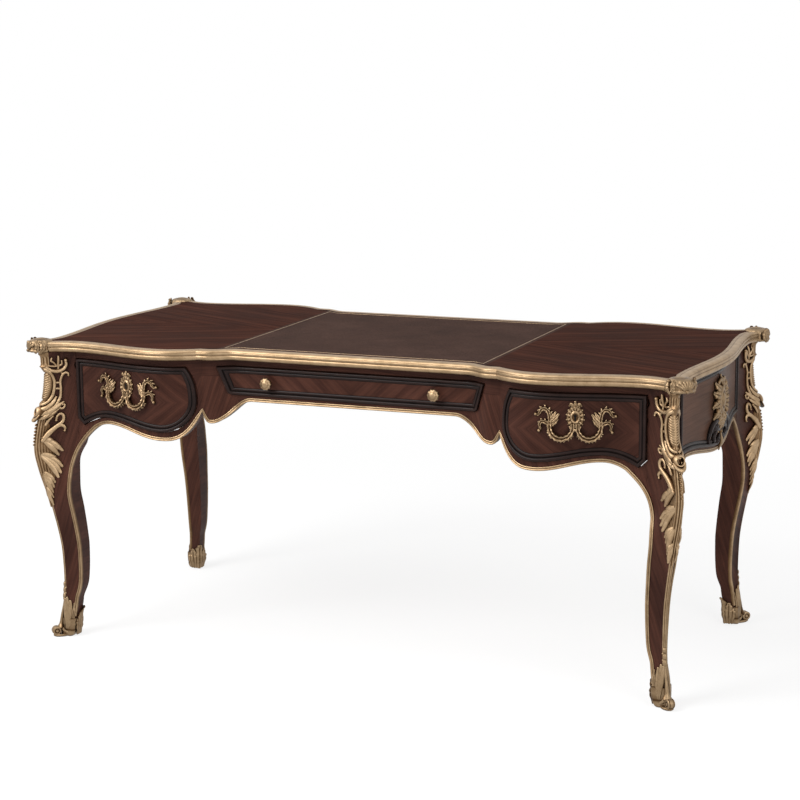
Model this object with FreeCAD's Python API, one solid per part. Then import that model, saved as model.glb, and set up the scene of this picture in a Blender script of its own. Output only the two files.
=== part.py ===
import FreeCAD, Part
import math
import os

# Writing table with a serpentine top, three drawers and four cabriole legs.
# Millimetres. The origin is on the floor under the middle, +X to the right seen from the front,
# +Y to the back, +Z up. The front faces -Y.

# Plan of the top, one quarter, walked from the middle of the front to the ear at the corner
CENTRE_HALF = 305.0  # straight stretch over the knee hole, half its length
SWEEP_LENGTH = 65.0  # S-shaped sweep out to the shoulder
SHOULDER_LENGTH = 21.0  # shoulder, up to the break
LOBE_LENGTH = 106.0  # break to the crown of the lobe
VALLEY_LENGTH = 238.0  # crown of the lobe to the valley
EAR_LENGTH = 83.0  # valley to the ear
CENTRE_DEPTH = 319.0  # half depth at the middle
SHOULDER_STEP = 28.0  # shoulder proud of the middle
LOBE_STEP = 40.0  # lobe proud of the shoulder
VALLEY_STEP = 41.0  # valley behind the lobe
EAR_STEP = 30.0  # ear proud of the valley
CANT_X = 10.0  # canted tip of the ear
CANT_Y = 8.0
SIDE_EAR_STEP = 25.0  # ear proud of the side's valley
SIDE_EAR_LENGTH = 63.0  # ear to the side's valley
SIDE_SWELL = 24.0  # middle of the side proud of its valley

# Heights
KNEE_HEIGHT = 645.0  # floor to the underside of the middle rail
CENTRE_RAIL_HEIGHT = 14.0
CENTRE_FRONT_HEIGHT = 71.0
TOP_RAIL_HEIGHT = 16.0
TOP_THICKNESS = 26.0
SKIN = 3.0  # veneer and leather
DRAWER_GAP = 1.5  # round every drawer front

# Top
EDGE_REACH = 27.0  # gilt moulding, in plan
ROLL_HIGH = 8.0  # radius of the upper roll
ROLL_LOW = 6.0  # radius of the lower roll
ROLL_FACETS = 5
ROLL_LOW_TURN = 150.0  # degrees of arc, from straight down
ROLL_HIGH_TURN = 140.0  # degrees of arc, up to straight up
LEATHER_HALF = 350.0
LEATHER_MARGIN = 6.0
CLASP_RADIUS = 31.0
CLASP_WALL = 5.0
CLASP_SET = 8.0  # clasp's middle out from the ear
CLASP_RISE = 9.0
CLASP_HAUNCH = 21.0
CLASP_HAUNCH_RISE = 7.0

# Lower edge of the front and back aprons, from the middle outwards
PENDANT_DROP = 56.0  # shoulder pendant below the middle rail
PENDANT_LENGTH = 98.0
PENDANT_TIP = 25.0  # lowest point to the break
CUSP_RISE = 28.0  # break above the pendant
LOBE_DROP = 101.0  # lowest point of the lobe below the middle rail
LOBE_REACH = 94.0  # break to that point
ARCH_RISE = 26.0  # arch beside the leg, above the lobe
ARCH_LENGTH = 160.0
ARCH_FALL = 70.0  # fall of the arch into the leg
ARCH_REACH = 105.0

# Lower edge of the side aprons
SIDE_DROP = 102.0  # lowest point at the middle, below the middle rail
SIDE_ARCH_RISE = 24.0
SIDE_ARCH_LENGTH = 235.0
SIDE_ARCH_FALL = 37.0

# Frame
BOARD = 22.0  # aprons and rails
PANEL = 20.0  # partitions
RUNNER_HEIGHT = 19.0
RAIL_SPLIT = 24.0  # side posts end this far below the middle drawer's top edge
POST_OVERLAP = 14.0  # posts reach past the break
SLIDE_GAP = 0.3  # drawers on their runners
SIDE_POST = 78.0  # leg post along the side
BAND_WIDTH = 9.0  # gilt band
BAND_PROUD = 3.0
EDGE_SET = 2.5  # the leg's gilt strips in from its inner edges

# Drawers
SIDE_FRONT_DROP = 1.5  # side drawers' top edge below the middle drawer's
FRONT_MARGIN = 22.0  # side drawers' front above the apron's lower edge
FRONT_ARCH_MARGIN = 17.0  # the same at the arch
FRONT_FALL = 26.0  # fall of the front's lower edge from the arch to its heel
FRONT_INSET = 9.5  # side drawers' front from the break
FRONT_LENGTH = 344.5
FRONT_CORNER = 22.0  # lean of the inner end, from its middle to the top
FRONT_INNER_RISE = 79.0  # rounded inner end above the lobe's lowest point
FRONT_HEEL = 18.0  # slanted lower outer corner
FRONT_HEEL_RISE = 18.0
FRONT_PROUD = 2.0
FRONT_THICK = 18.0  # side drawers' front at the valley
POST_WIDTH = 41.0  # middle drawer's front from the break
CENTRE_FRONT_TAPER = 21.0
CENTRE_CORNER = 14.0
CENTRE_CORNER_RISE = 9.0
CENTRE_THICK = 22.0
MOULDING_WIDTH = 9.0  # each of the two steps of the drawer moulding
MOULDING_HIGH = 6.0
MOULDING_LOW = 3.0
DRAWER_BOARD = 12.0
DRAWER_BOTTOM = 8.0
BOTTOM_LIFT = 4.0
BOX_SET_IN = 11.0  # side drawer's box in from the outer end of its front
BOX_INNER_SET_IN = 22.0
CENTRE_BOX_SET_IN = 26.0
BOX_LENGTH = 600.0
CENTRE_BOX_LENGTH = 560.0
BOX_CLEARANCE = 4.0  # drawer box inside its front's upper and lower edges
KICKER_GAP = 1.0
JOINT_GAP = 0.3  # inner frame against the curved aprons
BEARING_EXTRA = 2.0  # runners wider than the drawer boards that slide on them
STOP_LENGTH = 20.0
STOP_HEIGHT = 16.0

# Fittings
PULL_SET = 184.5  # centre of the pull from the inner end of its drawer's front
PULL_RISE = 105.0  # centre of the loops above the lobe's lowest point
LOOP_RADIUS = 27.0
LOOP_WIRE = 6.0
LOOP_SPREAD = 33.0
PULL_STANDOFF = 17.0
PULL_POST = 5.0
PULL_ROOT = 30.0  # reach of its blank into the front before it is fitted
SCUTCHEON_WIDE = 38.0
SCUTCHEON_TALL = 54.0
SCUTCHEON_THICK = 6.0
SCUTCHEON_RISE = 27.0  # its centre above the loops' centre
LEAF_LENGTH = 38.0
LEAF_ROOT = 6.0
LEAF_TIP = 2.0
LEAF_LEAN = 14.0
LOCK_WIDE = 60.0
LOCK_TALL = 40.0
LOCK_THICK = 12.0
KNOB_X = 220.0
KNOB_RISE = 34.5  # above the lower edge of the middle drawer's front
KNOB_RADIUS = 13.5
KNOB_STEM = 6.0
KNOB_NECK = 8.0
KNOB_HEAD = 18.0
LOCK_FALL = 5.0  # lock below the top edge of its drawer's front
SCREW_SHANK = 2.5
SCREW_HEAD = 5.0
SCREW_HEAD_HEIGHT = 3.0
SCREW_BITE = 14.0
SCREW_GAP = 0.2
SCREW_SINK = 2.0  # head above the underside of the kicker
SCREW_Y = 220.0

# Legs
FOOT_SET_X = 22.4  # foot inside the ear
FOOT_SET_Y = 9.8
LEG_CANT = 8.0  # flat along the arris
FOOT_HEIGHT = 30.0  # the wood ends in the shoe here
HOLLOW = 0.2  # sag of the faces, as a share of how far the arris stands out
FACE_SWEEP = 0.48  # share of the leg's height where its faces start back to the aprons

# Arris: share of the leg's height, distance out from the foot
ARRIS = (
    (0.040, 1.0),
    (0.127, -2.5),
    (0.187, -4.8),
    (0.306, -2.9),
    (0.375, 2.6),
    (0.459, 12.4),
    (0.514, 19.5),
    (0.588, 31.0),
    (0.663, 38.5),
    (0.735, 34.0),
    (0.794, 26.5),
    (0.854, 18.0),
    (0.934, 13.5),
    (1.000, 15.0),
)

# Below the knee: share of the leg's height, inner edge in from the foot, arris proud of the inner edge
SHANK = (
    (0.040, 36.0, 6.0),
    (0.127, 42.0, 10.0),
    (0.187, 53.0, 11.5),
    (0.306, 56.5, 10.0),
    (0.375, 54.0, 9.5),
    (0.459, 48.5, 8.0),
    (0.514, 44.0, 9.0),
    (0.603, 44.5, 14.0),
)

# Gilt on the legs: share of the leg's height, width along each face, thickness at the arris
KNEE_MOUNT = (
    (0.460, 5.0, 3.0),
    (0.514, 16.0, 7.0),
    (0.588, 24.0, 8.5),
    (0.663, 30.0, 9.5),
    (0.735, 26.0, 13.0),
    (0.772, 26.0, 19.0),
    (0.794, 26.0, 21.0),
    (0.812, 24.0, 19.0),
    (0.830, 22.0, 13.0),
    (0.868, 24.0, 10.0),
    (0.908, 28.0, 17.0),
    (0.948, 34.0, 28.0),
    (0.968, 36.0, 30.0),
    (0.995, 32.0, 28.0),
)
MOUNT_EDGE = 2.0  # mount's thickness at its rim
MOUNT_ROOT = 14.0  # reach of its blank into the leg before it is hollowed
LEG_STEP = 28.0  # most between two sections of the leg
STRIP_WIDTH = 8.0
STRIP_PROUD = 2.0
SHOE_HEIGHT = 128.0
SHOE_WALL = 5.0
SHOE_RIM_WALL = 2.0
SHOE_SLOPE = 1.0  # fall of the shoe's rim across its depth
TOE_RADIUS = 14.0
TOE_LENGTH = 34.0
TOE_REACH = 16.0  # toe's centre out from the arris
SHOE_DEPTH = 60.0  # arris to the inner corner, across the rim

# Gilt mount on each side apron
CARTOUCHE_WIDE = 72.0
CARTOUCHE_TALL = 118.0
CARTOUCHE_RIM = 10.0
CARTOUCHE_PROUD = 12.0
CARTOUCHE_CROWN = 18.0
CARTOUCHE_TOP_GAP = 30.0
LEAF_WIDE = 44.0
SIDE_PANEL_HALF = 278.0
SIDE_PANEL_MARGIN = 13.0  # panel's moulding above the apron's lower edge
SIDE_PANEL_GAP = 3.0  # and below the top

SAMPLES = 9  # points along each curved stretch

# Worked out from the sizes above
BREAK_X = CENTRE_HALF + SWEEP_LENGTH + SHOULDER_LENGTH
LOBE_X = BREAK_X + LOBE_LENGTH
VALLEY_X = LOBE_X + VALLEY_LENGTH
EAR_X = VALLEY_X + EAR_LENGTH
SHOULDER_Y = CENTRE_DEPTH + SHOULDER_STEP
LOBE_Y = SHOULDER_Y + LOBE_STEP
VALLEY_Y = LOBE_Y - VALLEY_STEP
EAR_Y = VALLEY_Y + EAR_STEP
SIDE_EAR_X = EAR_X + CANT_X
SIDE_EAR_Y = EAR_Y - CANT_Y
SIDE_VALLEY_X = SIDE_EAR_X - SIDE_EAR_STEP
SIDE_VALLEY_Y = SIDE_EAR_Y - SIDE_EAR_LENGTH
SIDE_X = SIDE_VALLEY_X + SIDE_SWELL

CENTRE_BOTTOM = KNEE_HEIGHT + CENTRE_RAIL_HEIGHT + DRAWER_GAP
CENTRE_TOP = CENTRE_BOTTOM + CENTRE_FRONT_HEIGHT
CASE_TOP = CENTRE_TOP + DRAWER_GAP + TOP_RAIL_HEIGHT
TOP_HEIGHT = CASE_TOP + TOP_THICKNESS
CORE_TOP = TOP_HEIGHT - SKIN
SPLIT_HEIGHT = CENTRE_TOP - RAIL_SPLIT

PENDANT_X = BREAK_X - PENDANT_TIP
PENDANT_Z = KNEE_HEIGHT - PENDANT_DROP
CUSP_Z = PENDANT_Z + CUSP_RISE
LOBE_LOW_X = BREAK_X + LOBE_REACH
LOBE_LOW_Z = KNEE_HEIGHT - LOBE_DROP
ARCH_X = LOBE_LOW_X + ARCH_LENGTH
ARCH_Z = LOBE_LOW_Z + ARCH_RISE
FRONT_INNER_X = BREAK_X + FRONT_INSET
FRONT_OUTER_X = FRONT_INNER_X + FRONT_LENGTH
FRONT_TOP = CENTRE_TOP - SIDE_FRONT_DROP
LEG_FACE_X = FRONT_OUTER_X + DRAWER_GAP
LEG_FACE_Y = SIDE_EAR_Y - SIDE_POST
POST_END_X = BREAK_X + POST_OVERLAP

SIDE_LOW_Z = KNEE_HEIGHT - SIDE_DROP
SIDE_ARCH_Z = SIDE_LOW_Z + SIDE_ARCH_RISE
FRONT_SPRING_Z = ARCH_Z - ARCH_FALL * ((LEG_FACE_X - ARCH_X) / ARCH_REACH) ** 2
SIDE_SPRING_Z = SIDE_ARCH_Z - SIDE_ARCH_FALL
LEG_X = SIDE_EAR_X - FOOT_SET_X
LEG_Y = EAR_Y - FOOT_SET_Y

CENTRE_FRONT_HALF = BREAK_X - POST_WIDTH
BOX_IN = FRONT_INNER_X + BOX_INNER_SET_IN
BOX_OUT = FRONT_OUTER_X - BOX_SET_IN
BOX_LOW = CUSP_Z + RUNNER_HEIGHT + SLIDE_GAP
BOX_HIGH = FRONT_TOP - BOX_CLEARANCE
BOX_FRONT = VALLEY_Y + FRONT_PROUD - FRONT_THICK
BOX_BACK = BOX_LENGTH - BOX_FRONT
CENTRE_BOX_HALF = CENTRE_FRONT_HALF - CENTRE_BOX_SET_IN
CENTRE_BOX_LOW = CENTRE_BOTTOM + BOX_CLEARANCE
CENTRE_BOX_HIGH = CENTRE_TOP - BOX_CLEARANCE
CENTRE_BOX_FRONT = CENTRE_DEPTH + FRONT_PROUD - CENTRE_THICK
CENTRE_BOX_BACK = CENTRE_BOX_LENGTH - CENTRE_BOX_FRONT
BEARING = DRAWER_BOARD + BEARING_EXTRA
PULL_X = FRONT_INNER_X + PULL_SET
PULL_Z = LOBE_LOW_Z + PULL_RISE

FAR = 3.0 * SIDE_X  # well past the table


def blend(start, end, count=SAMPLES):
    """Points of a smooth S-shaped curve, level at both ends."""
    points = []
    for i in range(count + 1):
        t = i / count
        rise = (1 - math.cos(math.pi * t)) / 2
        points.append((start[0] + (end[0] - start[0]) * t, start[1] + (end[1] - start[1]) * rise))
    return points


def swell(start, end, power, count=SAMPLES):
    """Points of a curve that leaves start level and steepens up to end."""
    points = []
    for i in range(count + 1):
        t = i / count
        points.append((start[0] + (end[0] - start[0]) * t, start[1] + (end[1] - start[1]) * t**power))
    return points


def quarter(start, end, count=SAMPLES):
    """Points of a quarter ellipse, along the first axis at start and along the second at end."""
    points = []
    for i in range(count + 1):
        turn = math.pi / 2 * i / count
        across = math.sin(turn)
        rise = 1 - math.cos(turn)
        points.append((start[0] + (end[0] - start[0]) * across, start[1] + (end[1] - start[1]) * rise))
    return points


def backwards(points):
    return list(reversed(points))


def mirrored(points):
    """The same run on the other side of the middle, walked the same way round."""
    return [(-a, b) for a, b in reversed(points)]


def curve(points):
    """A smooth edge through the points, or a straight one between two."""
    if len(points) == 2:
        return Part.LineSegment(points[0], points[1]).toShape()
    line = Part.BSplineCurve()
    line.interpolate(points)
    return line.toShape()


def in_plan(height):
    return lambda p: FreeCAD.Vector(p[0], p[1], height)


def in_front_view(depth):
    return lambda p: FreeCAD.Vector(p[0], depth, p[1])


def in_side_view(across):
    return lambda p: FreeCAD.Vector(across, p[0], p[1])


def prism(runs, place, travel):
    """The outline made of the runs, put in place and drawn along travel."""
    edges = [curve([place(p) for p in run]) for run in runs]
    return Part.Face(Part.Wire(edges)).extrude(travel)


def direction(points, index):
    """Unit tangent of a run at one of its points."""
    before = points[max(index - 1, 0)]
    after = points[min(index + 1, len(points) - 1)]
    length = math.hypot(after[0] - before[0], after[1] - before[1])
    return ((after[0] - before[0]) / length, (after[1] - before[1]) / length)


def moved_in(runs, distance, closed=True):
    """The runs moved to their left by a distance, mitred where they meet."""
    result = []
    for number, run in enumerate(runs):
        moved = []
        for index, point in enumerate(run):
            tangent = direction(run, index)
            beside = tangent
            if index == 0 and (closed or number > 0):
                beside = direction(runs[number - 1], len(runs[number - 1]) - 1)
            if index == len(run) - 1 and (closed or number < len(runs) - 1):
                beside = direction(runs[(number + 1) % len(runs)], 0)
            share = distance / (1 + tangent[0] * beside[0] + tangent[1] * beside[1])
            left = (-(tangent[1] + beside[1]) * share, (tangent[0] + beside[0]) * share)
            moved.append((point[0] + left[0], point[1] + left[1]))
        result.append(moved)
    return result


def block(low, high):
    """A box between two corners."""
    size = [b - a for a, b in zip(low, high)]
    return Part.makeBox(size[0], size[1], size[2], FreeCAD.Vector(*low))


def flipped_x(shape):
    return shape.mirror(FreeCAD.Vector(0, 0, 0), FreeCAD.Vector(1, 0, 0))


def flipped_y(shape):
    return shape.mirror(FreeCAD.Vector(0, 0, 0), FreeCAD.Vector(0, 1, 0))


def save(name, *shapes):
    """One file for a piece, or for a group of pieces of one kind."""
    solids = [solid for shape in shapes for solid in shape.Solids]
    shape = solids[0] if len(solids) == 1 else Part.makeCompound(solids)
    shape.exportStep(os.path.join("parts", name + ".step"))


# Plan of the top

def front_half_run():
    """Runs of the front's right half, from the middle to the ear, as half depths."""
    straight_end = (CENTRE_HALF, CENTRE_DEPTH)
    shoulder = (CENTRE_HALF + SWEEP_LENGTH, SHOULDER_Y)
    sweep = blend(straight_end, shoulder) + [(BREAK_X, SHOULDER_Y)]
    rise = backwards(swell((LOBE_X, LOBE_Y), (BREAK_X, SHOULDER_Y), 2.0))
    fall = blend((LOBE_X, LOBE_Y), (VALLEY_X, VALLEY_Y))
    flare = swell((VALLEY_X, VALLEY_Y), (EAR_X, EAR_Y), 2.0)
    return [sweep, rise + fall[1:] + flare[1:]]


def front_runs(reach):
    """The front's outline from the left ear to the right one, moved out by reach."""
    half = [[(x, -y - reach) for x, y in run] for run in front_half_run()]
    middle = [(-CENTRE_HALF, -CENTRE_DEPTH - reach), (CENTRE_HALF, -CENTRE_DEPTH - reach)]
    return [mirrored(half[1]), mirrored(half[0]), middle, half[0], half[1]]


def side_runs(reach):
    """The right side's outline from the front ear to the back one, moved out by reach."""
    swelling = blend((0.0, SIDE_X), (SIDE_VALLEY_Y, SIDE_VALLEY_X))
    flare = swell((SIDE_VALLEY_Y, SIDE_VALLEY_X), (SIDE_EAR_Y, SIDE_EAR_X), 2.0)
    half = swelling + flare[1:]
    front = [(x + reach, -y) for y, x in reversed(half)]
    return [front + [(x + reach, y) for y, x in half[1:]]]


def turned(runs):
    """The runs on the opposite edge of the table, walked the same way round."""
    return [[(-x, -y) for x, y in run] for run in runs]


def outline(reach):
    """The whole outline of the top, moved out by reach."""
    front = front_runs(reach)
    side = side_runs(reach)
    edges = [front, side, turned(front), turned(side)]
    runs = []
    for number, edge in enumerate(edges):
        runs += edge
        runs.append([edge[-1][-1], edges[(number + 1) % 4][0][0]])
    return runs


def slab(reach, low, high):
    return prism(outline(reach), in_plan(low), FreeCAD.Vector(0, 0, high - low))


def strip_between(outer, inner, low, high):
    """An upright strip between two runs lists that go the same way."""
    start = [inner[0][0], outer[0][0]]
    end = [outer[-1][-1], inner[-1][-1]]
    back = [backwards(run) for run in reversed(inner)]
    return prism([start] + outer + [end] + back, in_plan(low), FreeCAD.Vector(0, 0, high - low))


def front_strip(reach, inner_reach):
    return strip_between(front_runs(reach), front_runs(inner_reach), 0.0, CASE_TOP)


def side_strip(reach, inner_reach):
    return strip_between(side_runs(reach), side_runs(inner_reach), 0.0, CASE_TOP)


def front_slab(reach, depth):
    """From the front's outline back to a flat face at a depth."""
    runs = front_runs(reach)
    flat = [[(runs[0][0][0], -depth), (runs[-1][-1][0], -depth)]]
    return strip_between(runs, flat, 0.0, CASE_TOP)


# Outlines in the front view and the side view

def lower_edge_half():
    """The apron's lower edge from the middle to the leg."""
    middle = [(0.0, KNEE_HEIGHT), (PENDANT_X - PENDANT_LENGTH, KNEE_HEIGHT)]
    drop = blend(middle[1], (PENDANT_X, PENDANT_Z))
    tip = swell((PENDANT_X, PENDANT_Z), (BREAK_X, CUSP_Z), 3.0)
    lobe = backwards(swell((LOBE_LOW_X, LOBE_LOW_Z), (BREAK_X, CUSP_Z), 3.0))
    arch = blend((LOBE_LOW_X, LOBE_LOW_Z), (ARCH_X, ARCH_Z))
    fall = swell((ARCH_X, ARCH_Z), (LEG_FACE_X, FRONT_SPRING_Z), 2.0)
    return [middle, drop, tip, lobe + arch[1:] + fall[1:]]


def lower_edge():
    half = lower_edge_half()
    middle = [(-half[0][1][0], KNEE_HEIGHT), half[0][1]]
    return [mirrored(run) for run in reversed(half[1:])] + [middle] + half[1:]


def side_lower_edge():
    low = blend((0.0, SIDE_LOW_Z), (SIDE_ARCH_LENGTH, SIDE_ARCH_Z))
    fall = swell((SIDE_ARCH_LENGTH, SIDE_ARCH_Z), (LEG_FACE_Y, SIDE_SPRING_Z), 2.0)
    half = low + fall[1:]
    return [mirrored(half), half]


def band_above(edge, width):
    """The outline of a band of some width along the top of a lower edge."""
    upper = moved_in(edge, width, closed=False)
    start = [upper[0][0], edge[0][0]]
    end = [edge[-1][-1], upper[-1][-1]]
    return [start] + edge + [end] + [backwards(run) for run in reversed(upper)]


def region_above(edge):
    """The outline of the apron, from its lower edge up to the top."""
    first = edge[0][0]
    last = edge[-1][-1]
    corners = [last, (last[0], CASE_TOP), (first[0], CASE_TOP), first]
    return edge + [corners[0:2], corners[1:3], corners[2:4]]


def side_front_runs():
    """The right drawer's front, walked anticlockwise seen from the front."""
    low_z = LOBE_LOW_Z + FRONT_MARGIN
    arch_z = ARCH_Z + FRONT_ARCH_MARGIN
    heel_x = FRONT_OUTER_X - FRONT_HEEL
    heel_z = arch_z - FRONT_FALL
    waist_z = low_z + FRONT_INNER_RISE
    inner_end = quarter((LOBE_LOW_X, low_z), (FRONT_INNER_X, waist_z))
    bottom = blend((LOBE_LOW_X, low_z), (ARCH_X, arch_z))
    bottom += swell((ARCH_X, arch_z), (heel_x, heel_z), 2.0)[1:]
    heel = (FRONT_OUTER_X, heel_z + FRONT_HEEL_RISE)
    top_outer = (FRONT_OUTER_X, FRONT_TOP)
    top_inner = (FRONT_INNER_X + FRONT_CORNER, FRONT_TOP)
    lean = swell((waist_z, FRONT_INNER_X), (FRONT_TOP, top_inner[0]), 2.5)
    inner_top = [(x, z) for z, x in reversed(lean)]
    return [
        inner_top + backwards(inner_end)[1:] + bottom[1:],
        [bottom[-1], heel],
        [heel, top_outer],
        [top_outer, top_inner],
    ]


def centre_front_runs():
    """The middle drawer's front, walked anticlockwise seen from the front."""
    low_x = CENTRE_FRONT_HALF - CENTRE_FRONT_TAPER
    corner = quarter((low_x - CENTRE_CORNER, CENTRE_BOTTOM), (low_x, CENTRE_BOTTOM + CENTRE_CORNER_RISE))
    right_end = [corner[-1], (CENTRE_FRONT_HALF, CENTRE_TOP)]
    left_corner = mirrored(corner)
    return [
        [left_corner[-1], corner[0]],
        corner,
        right_end,
        [right_end[-1], (-CENTRE_FRONT_HALF, CENTRE_TOP)],
        mirrored(right_end),
        left_corner,
    ]


def side_panel_runs():
    """The moulded panel on the side, walked anticlockwise seen from the right."""
    low = SIDE_PANEL_MARGIN + SIDE_LOW_Z
    high = CASE_TOP - SIDE_PANEL_GAP
    arch = blend((0.0, low), (SIDE_ARCH_LENGTH, low + SIDE_ARCH_RISE))
    half = arch + [(SIDE_PANEL_HALF, low + SIDE_ARCH_RISE)]
    upper = [(SIDE_PANEL_HALF, high), (-SIDE_PANEL_HALF, high)]
    return [mirrored(half)[:-1] + half, [half[-1], upper[0]], upper, [upper[1], mirrored(half)[0]]]


def through_front(runs):
    return prism(runs, in_front_view(-FAR / 2), FreeCAD.Vector(0, FAR, 0))


def through_side(runs):
    return prism(runs, in_side_view(0.0), FreeCAD.Vector(FAR / 2, 0, 0))


def frame_between(runs, outer, inner, through):
    """A frame that follows an outline, between two distances inside it."""
    return through(moved_in(runs, outer)).cut(through(moved_in(runs, inner)))


# Top board, its skins and its gilt edge

def edge_profile():
    """Section of the gilt moulding: distance out from the board, height."""
    high = (EDGE_REACH - ROLL_HIGH, TOP_HEIGHT - ROLL_HIGH)
    low = (EDGE_REACH - ROLL_LOW, CASE_TOP + ROLL_LOW)
    points = [(0.0, CASE_TOP), (low[0], CASE_TOP)]
    for i in range(1, ROLL_FACETS + 1):
        turn = math.radians(-90 + ROLL_LOW_TURN * i / ROLL_FACETS)
        points.append((low[0] + ROLL_LOW * math.cos(turn), low[1] + ROLL_LOW * math.sin(turn)))
    for i in range(ROLL_FACETS + 1):
        turn = math.radians(90 - ROLL_HIGH_TURN * (1 - i / ROLL_FACETS))
        points.append((high[0] + ROLL_HIGH * math.cos(turn), high[1] + ROLL_HIGH * math.sin(turn)))
    return points + [(0.0, TOP_HEIGHT)]


def moulding(runs_at):
    """A moulding whose section is walked along the runs that runs_at gives for each reach."""
    profile = edge_profile()
    lines = []
    for reach, height in profile:
        place = in_plan(height)
        lines.append([curve([place(p) for p in run]) for run in runs_at(reach)])
    faces = []
    for number, line in enumerate(lines):
        beside = lines[(number + 1) % len(lines)]
        faces += [Part.makeRuledSurface(a, b) for a, b in zip(line, beside)]
    for end, last in ((0, False), (-1, True)):
        corners = []
        for (reach, height) in profile:
            run = runs_at(reach)[end]
            corners.append(in_plan(height)(run[-1] if last else run[0]))
        faces.append(Part.Face(Part.makePolygon(corners + corners[:1])))
    solid = Part.Solid(Part.Shell(faces))
    if solid.Volume < 0:
        solid.reverse()
    return solid


def front_edge_runs(reach):
    """The front's outline with half the canted ear at each end."""
    front = front_runs(reach)
    side = side_runs(reach)
    tip = side[0][0]
    return [[(-tip[0], tip[1]), front[0][0]]] + front + [[front[-1][-1], tip]]


def build_top(screws):
    core = slab(0.0, CASE_TOP, CORE_TOP)
    for screw in screws:
        core = core.cut(screw)
    save("top_panel", core)
    skin = slab(0.0, CORE_TOP, TOP_HEIGHT)
    middle = block((-LEATHER_HALF, -FAR, CORE_TOP), (LEATHER_HALF, FAR, TOP_HEIGHT))
    leather = slab(-LEATHER_MARGIN, CORE_TOP, TOP_HEIGHT).common(middle)
    save("leather_inset", leather)
    save("top_veneers", skin.cut(middle), skin.common(middle).cut(leather))
    front = moulding(front_edge_runs)
    right = moulding(side_runs)
    save("edge_moulding_front", front)
    save("edge_moulding_back", flipped_y(front))
    save("edge_moulding_right", right)
    save("edge_moulding_left", flipped_x(right))
    build_clasps()


def build_clasps():
    """A gilt cap over each canted corner of the edge moulding."""
    step = CLASP_SET / math.sqrt(2)
    centre = ((EAR_X + SIDE_EAR_X) / 2 + step, -(EAR_Y + SIDE_EAR_Y) / 2 - step)
    foot = FreeCAD.Vector(CLASP_RADIUS + CLASP_WALL, 0, CASE_TOP)
    shoulder = FreeCAD.Vector(CLASP_RADIUS, 0, TOP_HEIGHT)
    crown = FreeCAD.Vector(0, 0, TOP_HEIGHT + CLASP_RISE)
    haunch = FreeCAD.Vector(CLASP_HAUNCH, 0, TOP_HEIGHT + CLASP_HAUNCH_RISE)
    base = FreeCAD.Vector(0, 0, CASE_TOP)
    edges = [
        Part.LineSegment(base, foot).toShape(),
        Part.LineSegment(foot, shoulder).toShape(),
        Part.Arc(shoulder, haunch, crown).toShape(),
        Part.LineSegment(crown, base).toShape(),
    ]
    dome = Part.Face(Part.Wire(edges)).revolve(FreeCAD.Vector(0, 0, 0), FreeCAD.Vector(0, 0, 1), 360)
    dome.translate(FreeCAD.Vector(centre[0], centre[1], 0))
    clasp = dome.cut(slab(EDGE_REACH, CASE_TOP, TOP_HEIGHT))
    back = flipped_y(clasp)
    save("corner_clasps", clasp, flipped_x(clasp), back, flipped_x(back))


# Legs

def slope_at(table, i, column):
    """How steeply a table's value changes at one of its rows."""
    before = table[max(i - 1, 0)]
    after = table[min(i + 1, len(table) - 1)]
    return (after[column] - before[column]) / (after[0] - before[0])


def along(table, share, column=1):
    """A value of a table at a share of the leg's height, on a smooth curve through its rows."""
    if share <= table[0][0]:
        return table[0][column]
    for i, (low, high) in enumerate(zip(table, table[1:])):
        if share <= high[0]:
            span = high[0] - low[0]
            t = (share - low[0]) / span
            start = low[column] + slope_at(table, i, column) * span * t * (1 - t) ** 2
            end = slope_at(table, i + 1, column) * span * t**2 * (t - 1)
            return start + (high[column] - low[column]) * t**2 * (3 - 2 * t) + end
    return table[-1][column]


def knee_rise(height, spring):
    """How far the inner edge has swept from the shank to the apron, from 0 to 1."""
    low = SHANK[-1][0] * CASE_TOP
    return min(max((height - low) / (spring - low), 0.0), 1.0) ** 2


def face_rise(height, spring):
    """How far the outer face at the inner edge has swept back to the apron's face, from 0 to 1."""
    low = FACE_SWEEP * CASE_TOP
    share = min(max((height - low) / (spring - low), 0.0), 1.0)
    return (1 - math.cos(math.pi * share)) / 2


def leg_section(height):
    """Corners of the front right leg at a height, as half depths: inner, front face, arris, side face."""
    share = height / CASE_TOP
    out = along(ARRIS, share)
    x_out = LEG_X + out
    y_out = LEG_Y + out
    inner = along(SHANK, share)
    proud = along(SHANK, share, 2)
    face_y = VALLEY_Y + EAR_STEP * ((LEG_FACE_X - VALLEY_X) / EAR_LENGTH) ** 2
    face_x = SIDE_VALLEY_X + SIDE_SWELL * (1 + math.cos(math.pi * LEG_FACE_Y / SIDE_VALLEY_Y)) / 2
    front_rise = knee_rise(height, FRONT_SPRING_Z)
    side_rise = knee_rise(height, SIDE_SPRING_Z)
    x_in = LEG_X - inner + (LEG_FACE_X - LEG_X + inner) * front_rise
    y_in = LEG_Y - inner + (LEG_FACE_Y - LEG_Y + inner) * side_rise
    y_face = y_out - proud + (face_y - y_out + proud) * face_rise(height, FRONT_SPRING_Z)
    x_face = x_out - proud + (face_x - x_out + proud) * face_rise(height, SIDE_SPRING_Z)
    return {
        "inner": (x_in, y_in),
        "front": (x_in, y_face),
        "front_arris": (x_out - LEG_CANT, y_out),
        "side_arris": (x_out, y_out - LEG_CANT),
        "side": (x_face, y_in),
    }


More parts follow.
